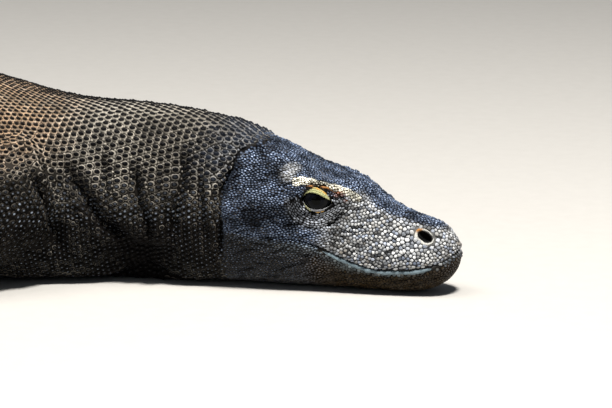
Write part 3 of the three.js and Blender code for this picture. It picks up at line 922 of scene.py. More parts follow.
def ring_points(tree, back, stagger):
    """Places around the body at one distance along it, evenly spaced from the back's middle down."""
    level = SPINE.at(back)
    right = SPINE.rightward(back)
    floor = Vector((*level, 0.2))
    top = tree.ray_cast(floor + Vector((0, 0, 600)), Vector((0, 0, -1)))[0]
    if top is None:
        return []
    centre = Vector((*level, 0.45 * top.z))
    made = []
    for sign in (1, -1):
        contour = []
        for angle in np.linspace(math.pi / 2, -math.pi / 2, 50):
            way = Vector((*(right * math.cos(angle) * sign), math.sin(angle)))
            hit = tree.ray_cast(centre, way)[0]
            if hit is not None:
                contour.append(np.array(hit))
        contour = np.array(contour)
        steps = np.linalg.norm(np.diff(contour, axis=0), axis=1)
        gaps = row_spacing(SPINE.locate(contour))
        count = np.concatenate([[0], np.cumsum(steps / (0.5 * (gaps[1:] + gaps[:-1])))])
        wanted = np.arange(0.5 if stagger else 0.0, count[-1], 1.0)
        if sign < 0 and not stagger:
            wanted = wanted[1:]
        made.append(np.stack([np.interp(wanted, count, contour[:, i]) for i in range(3)], -1))
    return np.vstack(made)


ROW_STEP = 0.87
WIDE_ROWS = 5.9
CLOSE_GAP = 4.9
CLOSE_ROWS_END = 500


def body_rows(tree, start, end):
    """Staggered rows over neck, trunk and tail: wide rows above, close rows on the lower neck."""
    rows = []
    for wide in (True, False):
        back = start
        stagger = False
        while back < (end if wide else CLOSE_ROWS_END):
            points = ring_points(tree, back, stagger)
            if len(points):
                gaps = row_spacing(SPINE.locate(points))
                chosen = (gaps >= WIDE_ROWS) == wide
                rows.append(points[chosen | (back > CLOSE_ROWS_END)])
            gap = float(row_spacing(np.array([[back, 10.0, 150.0]]))[0]) if wide else CLOSE_GAP
            back += ROW_STEP * gap
            stagger = not stagger
    return np.vstack(rows)


def scattered(mesh, chosen, plenty=5):
    """Evenly scattered places over the faces whose corners are chosen, at the planned spacing."""
    mesh.calc_loop_triangles()
    tris = read(mesh, "vertices", 3, np.int32, "loop_triangles")
    tris = tris[chosen[tris].all(1)]
    co = places(mesh)
    a, b, c = (co[tris[:, i]] for i in range(3))
    area = np.linalg.norm(np.cross(b - a, c - a), axis=1) / 2
    middle = (a + b + c) / 3
    owner = owners(middle)
    spacing = scale_plan(SPINE.locate(middle), owner)[0]
    wanted = area / (ROW_STEP * spacing**2)
    count = int(wanted.sum() * plenty)
    picked = rng.choice(len(tris), count, p=wanted / wanted.sum())
    share = rng.random((count, 2))
    flip = share.sum(1) > 1
    share[flip] = 1 - share[flip]
    points = a[picked] + (b - a)[picked] * share[:, :1] + (c - a)[picked] * share[:, 1:]
    reach = 0.80 * spacing[picked]
    tree = KDTree(count)
    for i, point in enumerate(points):
        tree.insert(point, i)
    tree.balance()
    free = np.ones(count, bool)
    kept = []
    for i in range(count):
        if free[i]:
            kept.append(i)
            for _, j, _ in tree.find_range(points[i], reach[i]):
                free[j] = False
    return points[kept]


def neighbours(points, count):
    tree = KDTree(len(points))
    for i, point in enumerate(points):
        tree.insert(point, i)
    tree.balance()
    rows = [[hit[1] for hit in tree.find_n(point, count + 1)][1:] for point in points]
    return np.array(rows)


def thin_out(points, spacing, share=0.62):
    """Drops points that stand too close to an earlier one."""
    near = neighbours(points, 3)
    gone = np.zeros(len(points), bool)
    gap = np.linalg.norm(points[near] - points[:, None], axis=2)
    for i in np.nonzero((gap < share * spacing[:, None]).any(1))[0]:
        for j, distance in zip(near[i], gap[i]):
            if not gone[j] and not gone[i] and distance < share * spacing[i] and j > i:
                gone[j] = True
    return ~gone


def spread(points, tree, passes):
    """Pushes scales apart over the skin until they stand evenly."""
    for _ in range(passes):
        points, normal = settle(points, tree)
        where = SPINE.locate(points)
        owner = owners(points)
        spacing, stretch = scale_plan(where, owner)[:2]
        lie = lie_of(points, where, owner, normal)
        near = neighbours(points, 7)
        away = points[:, None] - points[near]
        along = np.sum(away * lie[:, None], axis=2, keepdims=True) * lie[:, None]
        squeeze = np.sqrt(stretch)[:, None, None]
        scaled = (away - along) * squeeze + along / squeeze
        gap = np.linalg.norm(scaled, axis=2)
        push = np.clip(1.12 - gap / spacing[:, None], 0, None)
        push = push[..., None] * away / np.maximum(np.linalg.norm(away, axis=2), 1e-6)[..., None]
        points = points + 0.55 * spacing[:, None] * push.sum(1)
    return points


def cells(points, normal, lie, spacing, stretch, plate, sides):
    """The reach of each scale's own cell in `sides` directions, in its drawn-out measure."""
    across = np.cross(normal, lie)
    near = neighbours(points, 10)
    away = points[near] - points[:, None]
    squeeze = np.sqrt(stretch)[:, None]
    x = np.sum(away * lie[:, None], axis=2) / squeeze
    y = np.sum(away * across[:, None], axis=2) * squeeze
    square = x**2 + y**2
    reach = np.empty((len(points), sides))
    for k in range(sides):
        angle = 2 * math.pi * k / sides
        toward = 2 * (x * math.cos(angle) + y * math.sin(angle))
        limit = np.where(toward > 1e-6, square / np.maximum(toward, 1e-6), 1e9)
        reach[:, k] = limit.min(1)
    limit = 0.66 + 0.20 * plate[:, None]
    return np.minimum(reach, limit * spacing[:, None]), across


# Rings of one scale from its foot inwards: share of the cell, share of the height, crest value.
BEAD = {"fine": ([0.99, 0.80, 0.62, 0.34], [-0.10, 0.10, 0.66, 0.94], [0.0, 0.30, 0.74, 0.95]),
        "small": ([0.99, 0.80, 0.42], [-0.10, 0.46, 0.90], [0.0, 0.58, 0.92]),
        "plain": ([0.99, 0.66], [-0.10, 0.62], [0.0, 0.72])}
PLATE = {"fine": ([0.99, 0.90, 0.70, 0.36], [-0.22, 0.36, 0.82, 0.98], [0.05, 0.52, 0.86, 0.98]),
         "small": ([0.98, 0.86, 0.50], [-0.22, 0.50, 0.92], [0.05, 0.62, 0.92]),
         "plain": ([0.97, 0.80], [-0.25, 0.75], [0.0, 0.8])}


def gaps_between(points, normal, lie, spacing, chosen):
    """Places in the middle of each three neighbouring scales, each found once."""
    across = np.cross(normal, lie)
    near = neighbours(points, 7)[chosen]
    index = np.nonzero(chosen)[0]
    away = points[near] - points[index][:, None]
    x = np.sum(away * lie[index][:, None], axis=2)
    y = np.sum(away * across[index][:, None], axis=2)
    order = np.argsort(np.arctan2(y, x), axis=1)
    near = np.take_along_axis(near, order, axis=1)
    angle = np.take_along_axis(np.arctan2(y, x), order, axis=1)
    gap = np.take_along_axis(np.hypot(x, y), order, axis=1) / spacing[index][:, None]
    after = np.roll(near, -1, axis=1)
    opening = (np.roll(angle, -1, axis=1) - angle) % (2 * math.pi)
    good = (opening > 0.55) & (opening < 1.7) & (gap < 1.45) & (np.roll(gap, -1, axis=1) < 1.45)
    good &= (index[:, None] < near) & (index[:, None] < after)
    first = np.repeat(index[:, None], near.shape[1], axis=1)[good]
    return (points[first] + points[near[good]] + points[after[good]]) / 3, first


def granule_meshes(tree, coat, chosen):
    """Small pale granules that fill the corners between the neck's beads."""
    points, first = gaps_between(*(coat[key] for key in ("root", "normal", "lie", "spacing")), chosen)
    points, normal = settle(points, tree)
    count = len(points)
    radius = coat["spacing"][first] * rng.uniform(0.15, 0.23, count)
    lie = coat["lie"][first]
    lie = unit(lie - normal * np.sum(lie * normal, axis=1, keepdims=True))
    across = np.cross(normal, lie)
    made = []
    for number, pick in enumerate(np.array_split(np.arange(count), max(1, math.ceil(count / 10000)))):
        name = f"granules_{number + 1}"
        turn = 2 * math.pi * np.arange(5) / 5 + rng.random((len(pick), 1)) * 2
        sweep = np.cos(turn)[..., None] * lie[pick][:, None]
        sweep = sweep + np.sin(turn)[..., None] * across[pick][:, None]
        wide, tall = radius[pick][:, None, None], (radius[pick] * 0.95)[:, None, None]
        up = normal[pick][:, None]
        rings = [points[pick][:, None] + sweep * wide * share + up * tall * rise
                 for share, rise in ((1.0, -0.1), (0.72, 0.72))]
        top = points[pick][:, None] + up * tall
        co = np.concatenate([*rings, top], axis=1).reshape(-1, 3)
        base = np.arange(len(pick))[:, None] * 11
        k = np.arange(5)
        after = (k + 1) % 5
        quads = (np.stack([k, after, 5 + after, 5 + k], -1)[None] + base[:, :, None]).reshape(-1, 4)
        fan = (np.stack([5 + k, 5 + after, np.full(5, 10)], -1)[None] + base[:, :, None]).reshape(-1, 3)
        mesh = mesh_from(name, co, [quads, fan, k[::-1][None] + base])
        set_attribute(mesh, "crest", np.tile([0.0] * 5 + [0.3] * 5 + [0.34], len(pick)))
        for key in ("tint", "tone"):
            set_attribute(mesh, key, np.repeat(rng.random(len(pick)), 11))
        for key in MASK_NAMES:
            set_attribute(mesh, key, np.repeat(coat["masks"][key][first[pick]], 11))
        add_patches(mesh, coat["spot"][first[pick]], [(PATCH_REACH, 5), (PATCH_MIDDLE, 5), (0, 1)])
        made.append(new_object(name, mesh))
    return made


PATCH_REACH = 0.0014
PATCH_MIDDLE = 0.0008


def add_patches(mesh, spots, rings):
    """The OFBake map: every scale a small patch at its root's own spot, ring by ring."""
    parts = []
    for size, sides in rings:
        angles = 2 * math.pi * np.arange(sides) / sides
        parts.append(spots[:, None] + size * np.stack([np.cos(angles), np.sin(angles)], -1)[None])
    uv = np.concatenate(parts, axis=1).reshape(-1, 2)
    layer = mesh.uv_layers.new(name="OFBake")
    loops = read(mesh, "vertex_index", 1, np.int32, "loops")[:, 0]
    layer.data.foreach_set("uv", uv[loops].astype(np.float32).ravel())


def unwrap(where, owner):
    """Each place's own spot on a flattened hide: a strip for the body, a patch for each leg."""
    back, out, up = where.T
    turn = np.arctan2(out, up - 0.45 * np.interp(back, *TOP_LINE)) / (2 * math.pi) + 0.5
    spot = np.column_stack([0.02 + 0.96 * (back / SPINE.length) ** 0.62, 0.36 + 0.62 * turn])
    legs = sorted(LIMB_WAYS)
    for slot, index in enumerate(legs):
        mine = owner == index
        if not mine.any():
            continue
        middle, axis, _ = LIMB_WAYS[index]
        away = world(where[mine]) - middle
        side = unit(np.cross(axis, np.array([0.0, 0, 1])))
        over = np.cross(side, axis)
        spin = np.arctan2(away @ side, away @ over) / (2 * math.pi) + 0.5
        along = np.clip((away @ axis) / 240 + 0.5, 0, 1)
        column, row = slot % 6, slot // 6
        spot[mine, 0] = 0.01 + (column + 0.05 + 0.9 * along) * 0.163
        spot[mine, 1] = 0.01 + (row + 0.05 + 0.9 * spin) * 0.165
    return spot


SCALE_CLEAR = 0.12


def scale_mesh(name, pick, coat, sides, grade):
    """One joined mesh of solid scales."""
    points, normal, lie = (coat[key][pick] for key in ("root", "normal", "lie"))
    stretch, plate, height = (coat[key][pick] for key in ("stretch", "plate", "height"))
    reach, across = coat["reach"][sides][pick], coat["across"][pick]
    squeeze = np.sqrt(stretch)[:, None]
    mean = reach.mean(1, keepdims=True)
    count = len(points)
    angles = 2 * math.pi * np.arange(sides) / sides
    lumps = 1 + rng.uniform(-0.2, 0.2, count) * (1 + 0.8 * plate)
    tall = (height * lumps)[:, None]
    lean = rng.uniform(-0.16, 0.16, (count, 2)) * plate[:, None]
    reach = reach * (1 - 0.07 * (rng.random(count) * plate)[:, None])
    layers = []
    crest = []
    flat = plate[:, None]
    for ring in range(len(BEAD[grade][0])):
        share, rise, mark = (even[ring] * (1 - flat) + tab[ring] * flat
                             for even, tab in zip(BEAD[grade], PLATE[grade]))
        blend = 1.0 if ring == 0 else 0.3 + 0.6 * flat
        radius = share * (reach * blend + mean * (1 - blend))
        slant = 1 + (0.22 - 0.12 * flat) * np.cos(angles)[None] * (ring > 0)
        longer = 1 + 0.08 * (1 - flat) * (ring > 0)
        x = radius * np.cos(angles) * squeeze * longer
        y = radius * np.sin(angles) / squeeze / longer
        if ring > 0:
            x = x + 0.06 * mean * (1.6 - 1.1 * flat)
        z = tall * rise * slant + (ring > 0) * (x * lean[:, :1] + y * lean[:, 1:])
        offset = x[..., None] * lie[:, None] + y[..., None] * across[:, None]
        layers.append(points[:, None] + offset + z[..., None] * normal[:, None])
        crest.append(np.repeat(mark, sides, axis=1))
    top = points + normal * tall + lie * mean * (0.12 - 0.09 * flat)
    rings = len(layers)
    per = rings * sides + 1
    co = np.concatenate([np.concatenate(layers, axis=1), top[:, None]], axis=1).reshape(-1, 3)
    co[:, 2] = np.maximum(co[:, 2], SCALE_CLEAR)
    base = np.arange(count)[:, None] * per
    k = np.arange(sides)
    after = (k + 1) % sides
    quads = []
    for ring in range(rings - 1):
        low, high = ring * sides, (ring + 1) * sides
        quads.append(np.stack([low + k, low + after, high + after, high + k], -1))
    quads = (np.vstack(quads)[None] + base[:, :, None]).reshape(-1, 4)
    last = (rings - 1) * sides
    fan = np.stack([last + k, last + after, np.full(sides, rings * sides)], -1)
    fan = (fan[None] + base[:, :, None]).reshape(-1, 3)
    foot = (k[::-1][None] + base)
    mesh = mesh_from(name, co, [quads, fan, foot])
    set_attribute(mesh, "crest", np.concatenate([*crest, np.ones((count, 1))], axis=1).ravel())
    for key in ("tint", "tone"):
        set_attribute(mesh, key, np.repeat(coat[key][pick], per))
    for key in MASK_NAMES:
        set_attribute(mesh, key, np.repeat(coat["masks"][key][pick], per))
    patches = [(PATCH_REACH * (1 - ring / rings), sides) for ring in range(rings)]
    add_patches(mesh, coat["spot"][pick], [*patches, (0, 1)])
    return mesh


def draw_into_rows(points):
    """Moves the snout's scales part of the way onto the crests of their rows."""
    where = SPINE.locate(points)
    side = mirrored(where)
    snout = (side[:, 0] < 112) & (side[:, 0] > 24) & (side[:, 1] > 16)
    snout &= side[:, 2] > np.interp(side[:, 0], *MOUTH_LINE) + 2
    phase = snout_rows(side)
    off = (phase + math.pi) % (2 * math.pi) - math.pi
    shift = -0.5 * off * ROW_PITCH / (2 * math.pi) * smoothstep(side[:, 0], 24, 60)
    where[:, 2] += np.where(snout, shift, 0)
    return world(where)


def eye_fold_roots(tree):
    """Roots of the small scales strung along the folds round each eye, and the way each row runs."""
    roots, ways = [], []
    for eye in EYES:
        for path in eye_folds():
            steps = np.linalg.norm(np.diff(path, axis=0), axis=1)
            along = np.concatenate([[0], np.cumsum(steps)])
            stops = np.arange(rng.uniform(0, 2.5), along[-1], EYE_FOLD_PITCH * 1.75)
            stops = stops + rng.uniform(-0.6, 0.6, len(stops))
            u, w = (np.interp(stops, along, path[:, i]) for i in (0, 1))
            row = [on_skin(tree, EYE_BACK + a, eye.centre[2] + b, eye.sign)[0] for a, b in zip(u, w)]
            roots.append(np.array(row))
            ways.append(unit(np.gradient(np.array(row), axis=0)))
    return np.vstack(roots), np.vstack(ways)


def grow_coat(mesh):
    """Roots and shapes for every scale on the animal."""
    tree = skin_tree(mesh)
    co = places(mesh)
    where = SPINE.locate(co)
    owner = owners(co)
    head = zones(where, owner)["head"] > 0.5
    legs = is_named(owner, "arm", "hand", "thigh", "shank", "foot")
    rows = body_rows(tree, 188, SPINE.length - 3)
    row_owner = owners(rows)
    row_where = SPINE.locate(rows)
    on_body = ~is_named(row_owner, "arm", "hand", "thigh", "shank", "foot")
    on_body &= zones(row_where, row_owner)["head"] < 0.5
    points = np.vstack([rows[on_body], scattered(mesh, head | legs)])
    points = spread(points, tree, 4)
    points, normal = settle(points, tree)
    spacing = scale_plan(SPINE.locate(points), owners(points))[0]
    points = points[thin_out(points, spacing)]
    points = spread(points, tree, 2)
    points = draw_into_rows(points)
    points, normal = settle(points, tree)
    near = neighbours(points, 5)
    normal = unit(normal + 0.5 * normal[near].sum(1))
    where = SPINE.locate(points)
    owner = owners(points)
    spacing, stretch, plate, height, masks = scale_plan(where, owner)
    keep = nostril_place(mirrored(where))[0] > 1.66
    keep &= masks["mouth"] < 0.45
    for eye in EYES:
        u, w, q = eye.local(points)
        near = (np.hypot(u, w) < 34) & (q > -14)
        keep &= ~(near & (eye_opening(u, w) > -1.9))
        for path in eye_folds():
            gap = np.min(np.hypot(u[:, None] - path[None, :, 0], w[:, None] - path[None, :, 1]), axis=1)
            keep &= ~(near & (gap < 1.9))
    side = mirrored(where)
    under_lip = np.interp(side[:, 0], *MOUTH_LINE) - side[:, 2]
    lip = (side[:, 0] > LIP_BACK[0]) & (side[:, 0] < LIP_BACK[1]) & (side[:, 1] > 12)
    keep &= ~(lip & (under_lip > -0.9) & (under_lip < 4.5))
    points, normal = points[keep], normal[keep]
    folds, ways = eye_fold_roots(tree)
    fold = np.arange(len(points) + len(folds)) >= len(points)
    points = np.vstack([points, folds])
    points, normal_here = settle(points, tree)
    normal = unit(np.vstack([normal, normal_here[fold]]))
    where, owner = SPINE.locate(points), owners(points)
    spacing, stretch, plate, height, masks = scale_plan(where, owner)
    lie = lie_of(points, where, owner, normal)
    lie[fold] = unit(ways - normal[fold] * np.sum(ways * normal[fold], axis=1, keepdims=True))
    spacing[fold], stretch[fold], plate[fold], height[fold] = EYE_FOLD_PITCH * 1.35, 1.9, 0.35, 0.8
    coat = {"root": points, "normal": normal, "lie": lie, "spacing": spacing, "stretch": stretch,
            "plate": plate, "height": height, "masks": masks, "reach": {}}
    for sides in (8, 6):
        coat["reach"][sides], coat["across"] = cells(points, normal, lie, spacing, stretch, plate, sides)
    coat["tint"] = rng.random(len(points))
    coat["tone"] = rng.random(len(points))
    coat["spot"] = unwrap(where, owner)
    coat["where"], coat["owner"], coat["tree"] = where, owner, tree
    return coat


# ---------------------------------------------------------------- shader maths


class Value:
    """A shader socket that takes part in arithmetic."""

    def __init__(self, graph, socket):
        self.graph = graph
        self.socket = socket

    def maths(self, operation, *others):
        return self.graph.node("Math", {"operation": operation}, dict(enumerate([self, *others])))

    def __add__(self, other):
        return self.maths("ADD", other)

    def __sub__(self, other):
        return self.maths("SUBTRACT", other)

    def __mul__(self, other):
        return self.maths("MULTIPLY", other)

    def __rsub__(self, other):
        return self.graph.node("Math", {"operation": "SUBTRACT"}, {0: other, 1: self})

    __radd__ = __add__
    __rmul__ = __mul__

    def clamped(self):
        return self.graph.node("Clamp", {}, {0: self})

    def ramp(self, low, high):
        """0 below low, 1 above high, smooth between."""
        settings = {"interpolation_type": "SMOOTHSTEP"}
        return self.graph.node("MapRange", settings, {0: self, 1: low, 2: high, 3: 0.0, 4: 1.0})


class Graph:
    """A material's node tree, one call for each node."""

    def __init__(self, name):
        self.material = bpy.data.materials.new(name)
        self.material.use_nodes = True
        self.tree = self.material.node_tree
        self.surface = self.tree.nodes["Principled BSDF"]

    def node(self, kind, settings, inputs, output=0):
        made = self.tree.nodes.new("ShaderNode" + kind)
        for key, value in settings.items():
            setattr(made, key, value)
        for key, value in inputs.items():
            self.feed(made.inputs[key], value)
        return Value(self, made.outputs[output])

    def feed(self, socket, value):
        if isinstance(value, Value):
            self.tree.links.new(value.socket, socket)
        elif isinstance(value, tuple) and len(value) == 3 and socket.type == "RGBA":
            socket.default_value = (*value, 1.0)
        else:
            socket.default_value = value

    def mask(self, name):
        return self.node("Attribute", {"attribute_name": name}, {}, "Fac")

    def place(self):
        return self.node("TexCoord", {}, {}, "Object")

    def noise(self, scale, detail=3.0, roughness=0.55):
        inputs = {"Vector": self.place(), "Scale": scale, "Detail": detail, "Roughness": roughness}
        return self.node("TexNoise", {}, inputs, "Fac")

    def mix(self, factor, one, other, blend="MIX"):
        settings = {"data_type": "RGBA", "blend_type": blend, "clamp_factor": True}
        return self.node("Mix", settings, {0: factor, 6: one, 7: other}, 2)

    def set(self, **sockets):
        for key, value in sockets.items():
            self.feed(self.surface.inputs[key.replace("_", " ")], value)

    def bump(self, height, strength, distance):
        inputs = {"Height": height, "Strength": strength, "Distance": distance}
        return self.node("Bump", {}, inputs, "Normal")


# Colours of the hide, linear: the raised crest of a scale, and the net of skin round its foot.
HIDE_COLOURS = [
    # mask, crest, net
    # under: near-black painted shade.
    ("under", (0.0036, 0.0033, 0.0032), (0.010, 0.009, 0.0075)),
    ("far_back", (0.034, 0.029, 0.024), (0.170, 0.135, 0.095)),
    # limb: dark legs, made darker at the front as painted shade.
    ("limb", (0.0038, 0.0034, 0.0030), (0.0085, 0.0072, 0.0055)),
    # painted sunlight: a pale warm net on the shoulder top.
    ("sun", (0.0028, 0.0027, 0.0027), (0.390, 0.280, 0.190)),
    ("nape", (0.010, 0.013, 0.020), (0.180, 0.190, 0.210)),
    ("slate", (0.035, 0.051, 0.088), (0.003, 0.004, 0.006)),
    ("lidded", (0.170, 0.180, 0.200), (0.006, 0.006, 0.008)),
    ("cream", (0.680, 0.700, 0.715), (0.130, 0.140, 0.160)),
    ("teal", (0.150, 0.185, 0.200), (0.040, 0.050, 0.052)),
    ("umber", (0.030, 0.019, 0.007), (0.006, 0.0045, 0.0025)),
    ("brow", (0.900, 0.870, 0.710), (0.230, 0.190, 0.130)),
    ("rusty", (0.300, 0.090, 0.016), (0.230, 0.070, 0.012)),
    ("rim", (0.540, 0.545, 0.540), (0.360, 0.360, 0.350)),
]
CREST = (0.0025, 0.0025, 0.0032)
NET = (0.340, 0.315, 0.275)
# Odd pebbles on the snout: from and to which share of them, how fully, and the colour.
PEBBLES = [
    (0.72, 0.98, 0.80, (0.150, 0.190, 0.280)),
    (0.54, 0.72, 0.80, (0.090, 0.105, 0.130)),
    (0.30, 0.50, 0.60, (0.720, 0.730, 0.730)),
    (0.04, 0.11, 0.45, (0.320, 0.260, 0.180)),
]
# A painted highlight: the pale tip where light glints on the dark scales.
GLINT = (0.340, 0.395, 0.490)
# Painted shade: near black for the folds, the nostril and the mouth line, and for the gaps at the scales'
# feet.
PAINTED_SHADE = (0.0030, 0.0024, 0.0024)
GAP_SHADE = (0.0036, 0.0030, 0.0028)


def roll_colours(graph, colour):
    """The colours of the lids, the nostril rims and the stained crease over the base colour, with a painted
    sheen on the lower lids' wet edges.
    """
    mottle = graph.noise(420.0, 4.0)
    speck = graph.noise(1300.0, 3.0)
    lid, pale = graph.mask("lid"), graph.mask("pale")
    stained = pale * graph.mask("stain")
    for share, over in (
        (lid * (0.50 + 0.5 * mottle), (0.50, 0.52, 0.26)),
        (lid * speck.ramp(0.52, 0.62) * 0.45, (0.16, 0.13, 0.06)),
        (lid * mottle.ramp(0.56, 0.66) * 0.5, (0.36, 0.22, 0.05)),
        # A pale line of painted sheen along the wet edge of the lower lid.
        (graph.mask("wet"), (0.42, 0.42, 0.46)),
        (graph.mask("rust") * (0.5 + 0.5 * mottle), (0.36, 0.15, 0.03)),
        (graph.mask("ember") * mottle.ramp(0.35, 0.55), (0.50, 0.30, 0.08)),
        (pale * (0.6 + 0.5 * mottle), (0.52, 0.52, 0.49)),
        (stained * mottle.ramp(0.3, 0.5), (0.36, 0.17, 0.05)),
    ):
        colour = graph.mix(share, colour, over)
    return colour


def hide_material(name, coat):
    """One finish for skin and scales: the same markings, a crest on each scale, painted shade in the gaps
    and folds, painted glints on the dark crests.
    """
    graph = Graph(name)
    crest_colour, net_colour = CREST, NET
    patch = graph.noise(34.0, 4.0)
    tone = graph.mask("tone") if coat else 0.5
    for mask, crest, net in HIDE_COLOURS:
        share = (graph.mask(mask) * (0.6 + 0.8 * patch + 0.9 * (tone - 0.5))).clamped()
        crest_colour = graph.mix(share, crest_colour, crest)
        net_colour = graph.mix(share, net_colour, net)
    blotch = graph.noise(9.0, 3.0)
    net_colour = graph.mix(blotch.ramp(0.45, 0.7) * 0.5, net_colour, (0.07, 0.062, 0.052))
    grit = graph.noise(900.0, 2.0)
    if coat:
        crest = graph.mask("crest")
        # Painted shade in the gaps round each scale's foot.
        valley_shade = 1 - crest.ramp(0.02, 0.26)
        net_colour = graph.mix(valley_shade * (0.9 - 0.2 * graph.mask("cream")), net_colour, GAP_SHADE)
        clump = 0.25 + 0.8 * graph.noise(75.0).ramp(0.38, 0.62)
        pebbly = (graph.mask("cream") + 0.45 * graph.mask("brow")).clamped()
        for low, high, share, pebble in PEBBLES:
            chosen = pebbly * tone.ramp(low - 0.02, low) * (1 - tone.ramp(high, high + 0.02))
            crest_colour = graph.mix(chosen * share * clump, crest_colour, pebble)
            clump = 1.3 - clump
        low, high = 0.52 - 0.14 * graph.mask("head"), 0.72 - 0.12 * graph.mask("head")
        share = (crest + (grit - 0.5) * 0.16).ramp(low, high)
        colour = graph.mix(share, net_colour, crest_colour)
        # Painted highlight: a pale glint on the tips of the dark scales.
        dark = graph.mask("slate") + 0.95 * graph.mask("under") + 0.1 * graph.mask("limb")
        shine = crest.ramp(0.86, 0.99) * dark.clamped() * (0.06 + 1.2 * tone * patch)
        colour = graph.mix(shine, colour, GLINT)
        tone_and_sheen = 0.60 + 0.8 * graph.mask("tint")
        rough = 0.58 - 0.24 * share + 0.2 * (grit - 0.5)
    else:
        roll = graph.mask("roll")
        bare = (roll * 0.9 + graph.mask("rusty") * 0.7 + graph.mask("cream") * 0.3).clamped()
        # Painted shade: the bare skin between the scales goes near black, except on the rolls, the red
        # patch and the pale snout.
        colour = graph.mix(0.93 * (1 - bare), net_colour, GAP_SHADE)
        colour = graph.mix(roll * 0.85, colour, (0.160, 0.165, 0.175))
        colour = graph.mix(graph.mask("lip"), colour, (0.170, 0.225, 0.260))
        tone_and_sheen = 0.65 + 0.7 * graph.noise(260.0)
        rough = 0.62 + 0.2 * (grit - 0.5)
    dust = graph.noise(150.0, 4.0)
    # Brighter and darker patches on the slate head: partly mottling, partly painted highlight.
    mottle_and_sheen = graph.noise(48.0, 3.0).ramp(0.34, 0.66)
    tone_and_sheen = tone_and_sheen * (0.62 + 0.76 * dust) * (1 - graph.mask("slate") * (0.70 - 1.75 * mottle_and_sheen))
    colour = graph.mix(1.0, colour, graph.node("CombineColor", {}, {0: tone_and_sheen, 1: tone_and_sheen, 2: tone_and_sheen}), "MULTIPLY")
    # Painted shade in the folds, furrows and neck hollow.
    colour = graph.mix(graph.mask("crease") * 0.92, colour, PAINTED_SHADE)
    # Painted shade in the nostril and along the mouth line.
    colour = graph.mix((graph.mask("hole") + graph.mask("mouth") * 0.85).clamped(), colour, PAINTED_SHADE)
    if not coat:
        colour = roll_colours(graph, colour)
    fine = graph.noise(1400.0, 3.0)
    coarse = graph.noise(420.0, 2.0)
    graph.set(Base_Color=colour, Roughness=rough, Normal=graph.bump(fine * 0.5 + coarse, 0.5, 0.0006))
    graph.surface.inputs["Specular IOR Level"].default_value = 0.05
    return graph.material


def eye_material():
    graph = Graph("eye_ball")
    gaze = graph.mask("gaze")
    streaks = graph.noise(700.0, 4.0)
    iris = graph.mix(streaks, (0.0010, 0.0014, 0.0034), (0.0030, 0.0034, 0.0060))
    pupil = gaze.ramp(4.0, 4.6)
    colour = graph.mix(pupil, (0.0005, 0.0005, 0.0006), iris)
    rim = graph.mix(streaks, (0.002, 0.002, 0.003), (0.007, 0.007, 0.009))
    colour = graph.mix(gaze.ramp(7.0, 7.8), colour, rim)
    graph.set(Base_Color=colour, Roughness=0.08 + 0.05 * streaks)
    graph.surface.inputs["Specular IOR Level"].default_value = 0.08
    return graph.material


def horn_material():
    graph = Graph("claw_horn")
    along = graph.mask("along")
    grain = graph.noise(220.0, 5.0)
    colour = graph.mix(along, (0.020, 0.016, 0.013), (0.075, 0.060, 0.045))
    colour = graph.mix(grain * 0.35, colour, (0.11, 0.09, 0.07))
    graph.set(Base_Color=colour, Roughness=0.30 + 0.25 * grain, Normal=graph.bump(grain, 0.3, 0.0004))
    return graph.material


def floor_material():
    graph = Graph("studio_floor")
    grain = graph.noise(60.0, 4.0)
    colour = graph.mix(grain, (0.49, 0.48, 0.46), (0.54, 0.53, 0.51))
    graph.set(Base_Color=colour, Roughness=0.85)
    return graph.material


# ---------------------------------------------------------------- eyes, lids, claws


def tube(path, half_wide, half_thick, wide_way, sides):
    """A closed tube along a path; half sizes and the broad direction are given at each stop."""
    ahead = unit(np.gradient(path, axis=0))
    wide_way = unit(wide_way - ahead * np.sum(wide_way * ahead, axis=1, keepdims=True))
    thick_way = np.cross(ahead, wide_way)
    turn = 2 * math.pi * np.arange(sides) / sides
    ring = (np.cos(turn)[None, :, None] * (wide_way * half_wide[:, None])[:, None]
            + np.sin(turn)[None, :, None] * (thick_way * half_thick[:, None])[:, None])
    co = (path[:, None] + ring).reshape(-1, 3)
    stops = len(path)
    base = (np.arange(stops - 1) * sides)[:, None]
    k = np.arange(sides)[None]
    after = (k + 1) % sides
    quads = np.stack([base + k, base + after, base + sides + after, base + sides + k], -1).reshape(-1, 4)
    ends = [np.arange(sides)[::-1][None], (stops - 1) * sides + np.arange(sides)[None]]
    return co, quads, np.vstack(ends)


def lid_roll(eye, which, half_wide, half_thick, lift, part=(0.0, 1.0), inset=0.75):
    """One rounded ridge of a lid, lying on the eyeball from the front corner to the rear one."""
    (front, _), (rear, _) = EYE_CORNERS
    stops = 92
    share = part[0] + (part[1] - part[0]) * (1 - np.cos(np.linspace(0, math.pi, stops))) / 2
    u = front + 0.3 + (rear - front - 0.6) * share
    w = lid_edge(u, which) + lift * np.sin(np.pi * share) ** 0.5
    flat = u**2 + w**2
    q = np.sqrt(np.maximum((eye.radius + inset) ** 2 - flat, 22.0))
    path = eye.world(u, w, q)
    full = np.clip(share * 5, 0.12, 1) ** 0.6 * np.clip((1 - share) * 2.4, 0.10, 1) ** 0.7
    wavy = 1 + 0.13 * np.sin(share * 92 + lift) + 0.06 * np.sin(share * 31)
    ends = np.clip(np.minimum(share - part[0], part[1] - share) * 14, 0.12, 1) ** 0.6
    fade = full * wavy * ends
    outward = unit(path - eye.centre)
    ahead = unit(np.gradient(path, axis=0))
    broad = np.cross(outward, ahead)
    return tube(path, half_wide * fade, half_thick * fade, broad, 10)


def on_skin(tree, back, up, sign):
    """The place and the normal of the hide that faces sideways at a height."""
    start = SPINE.point(back, sign * 130, up)
    way = -np.array([*SPINE.rightward(back), 0]) * sign
    hit = tree.ray_cast(Vector(start), Vector(way))
    return np.array(hit[0]), np.array(hit[1])


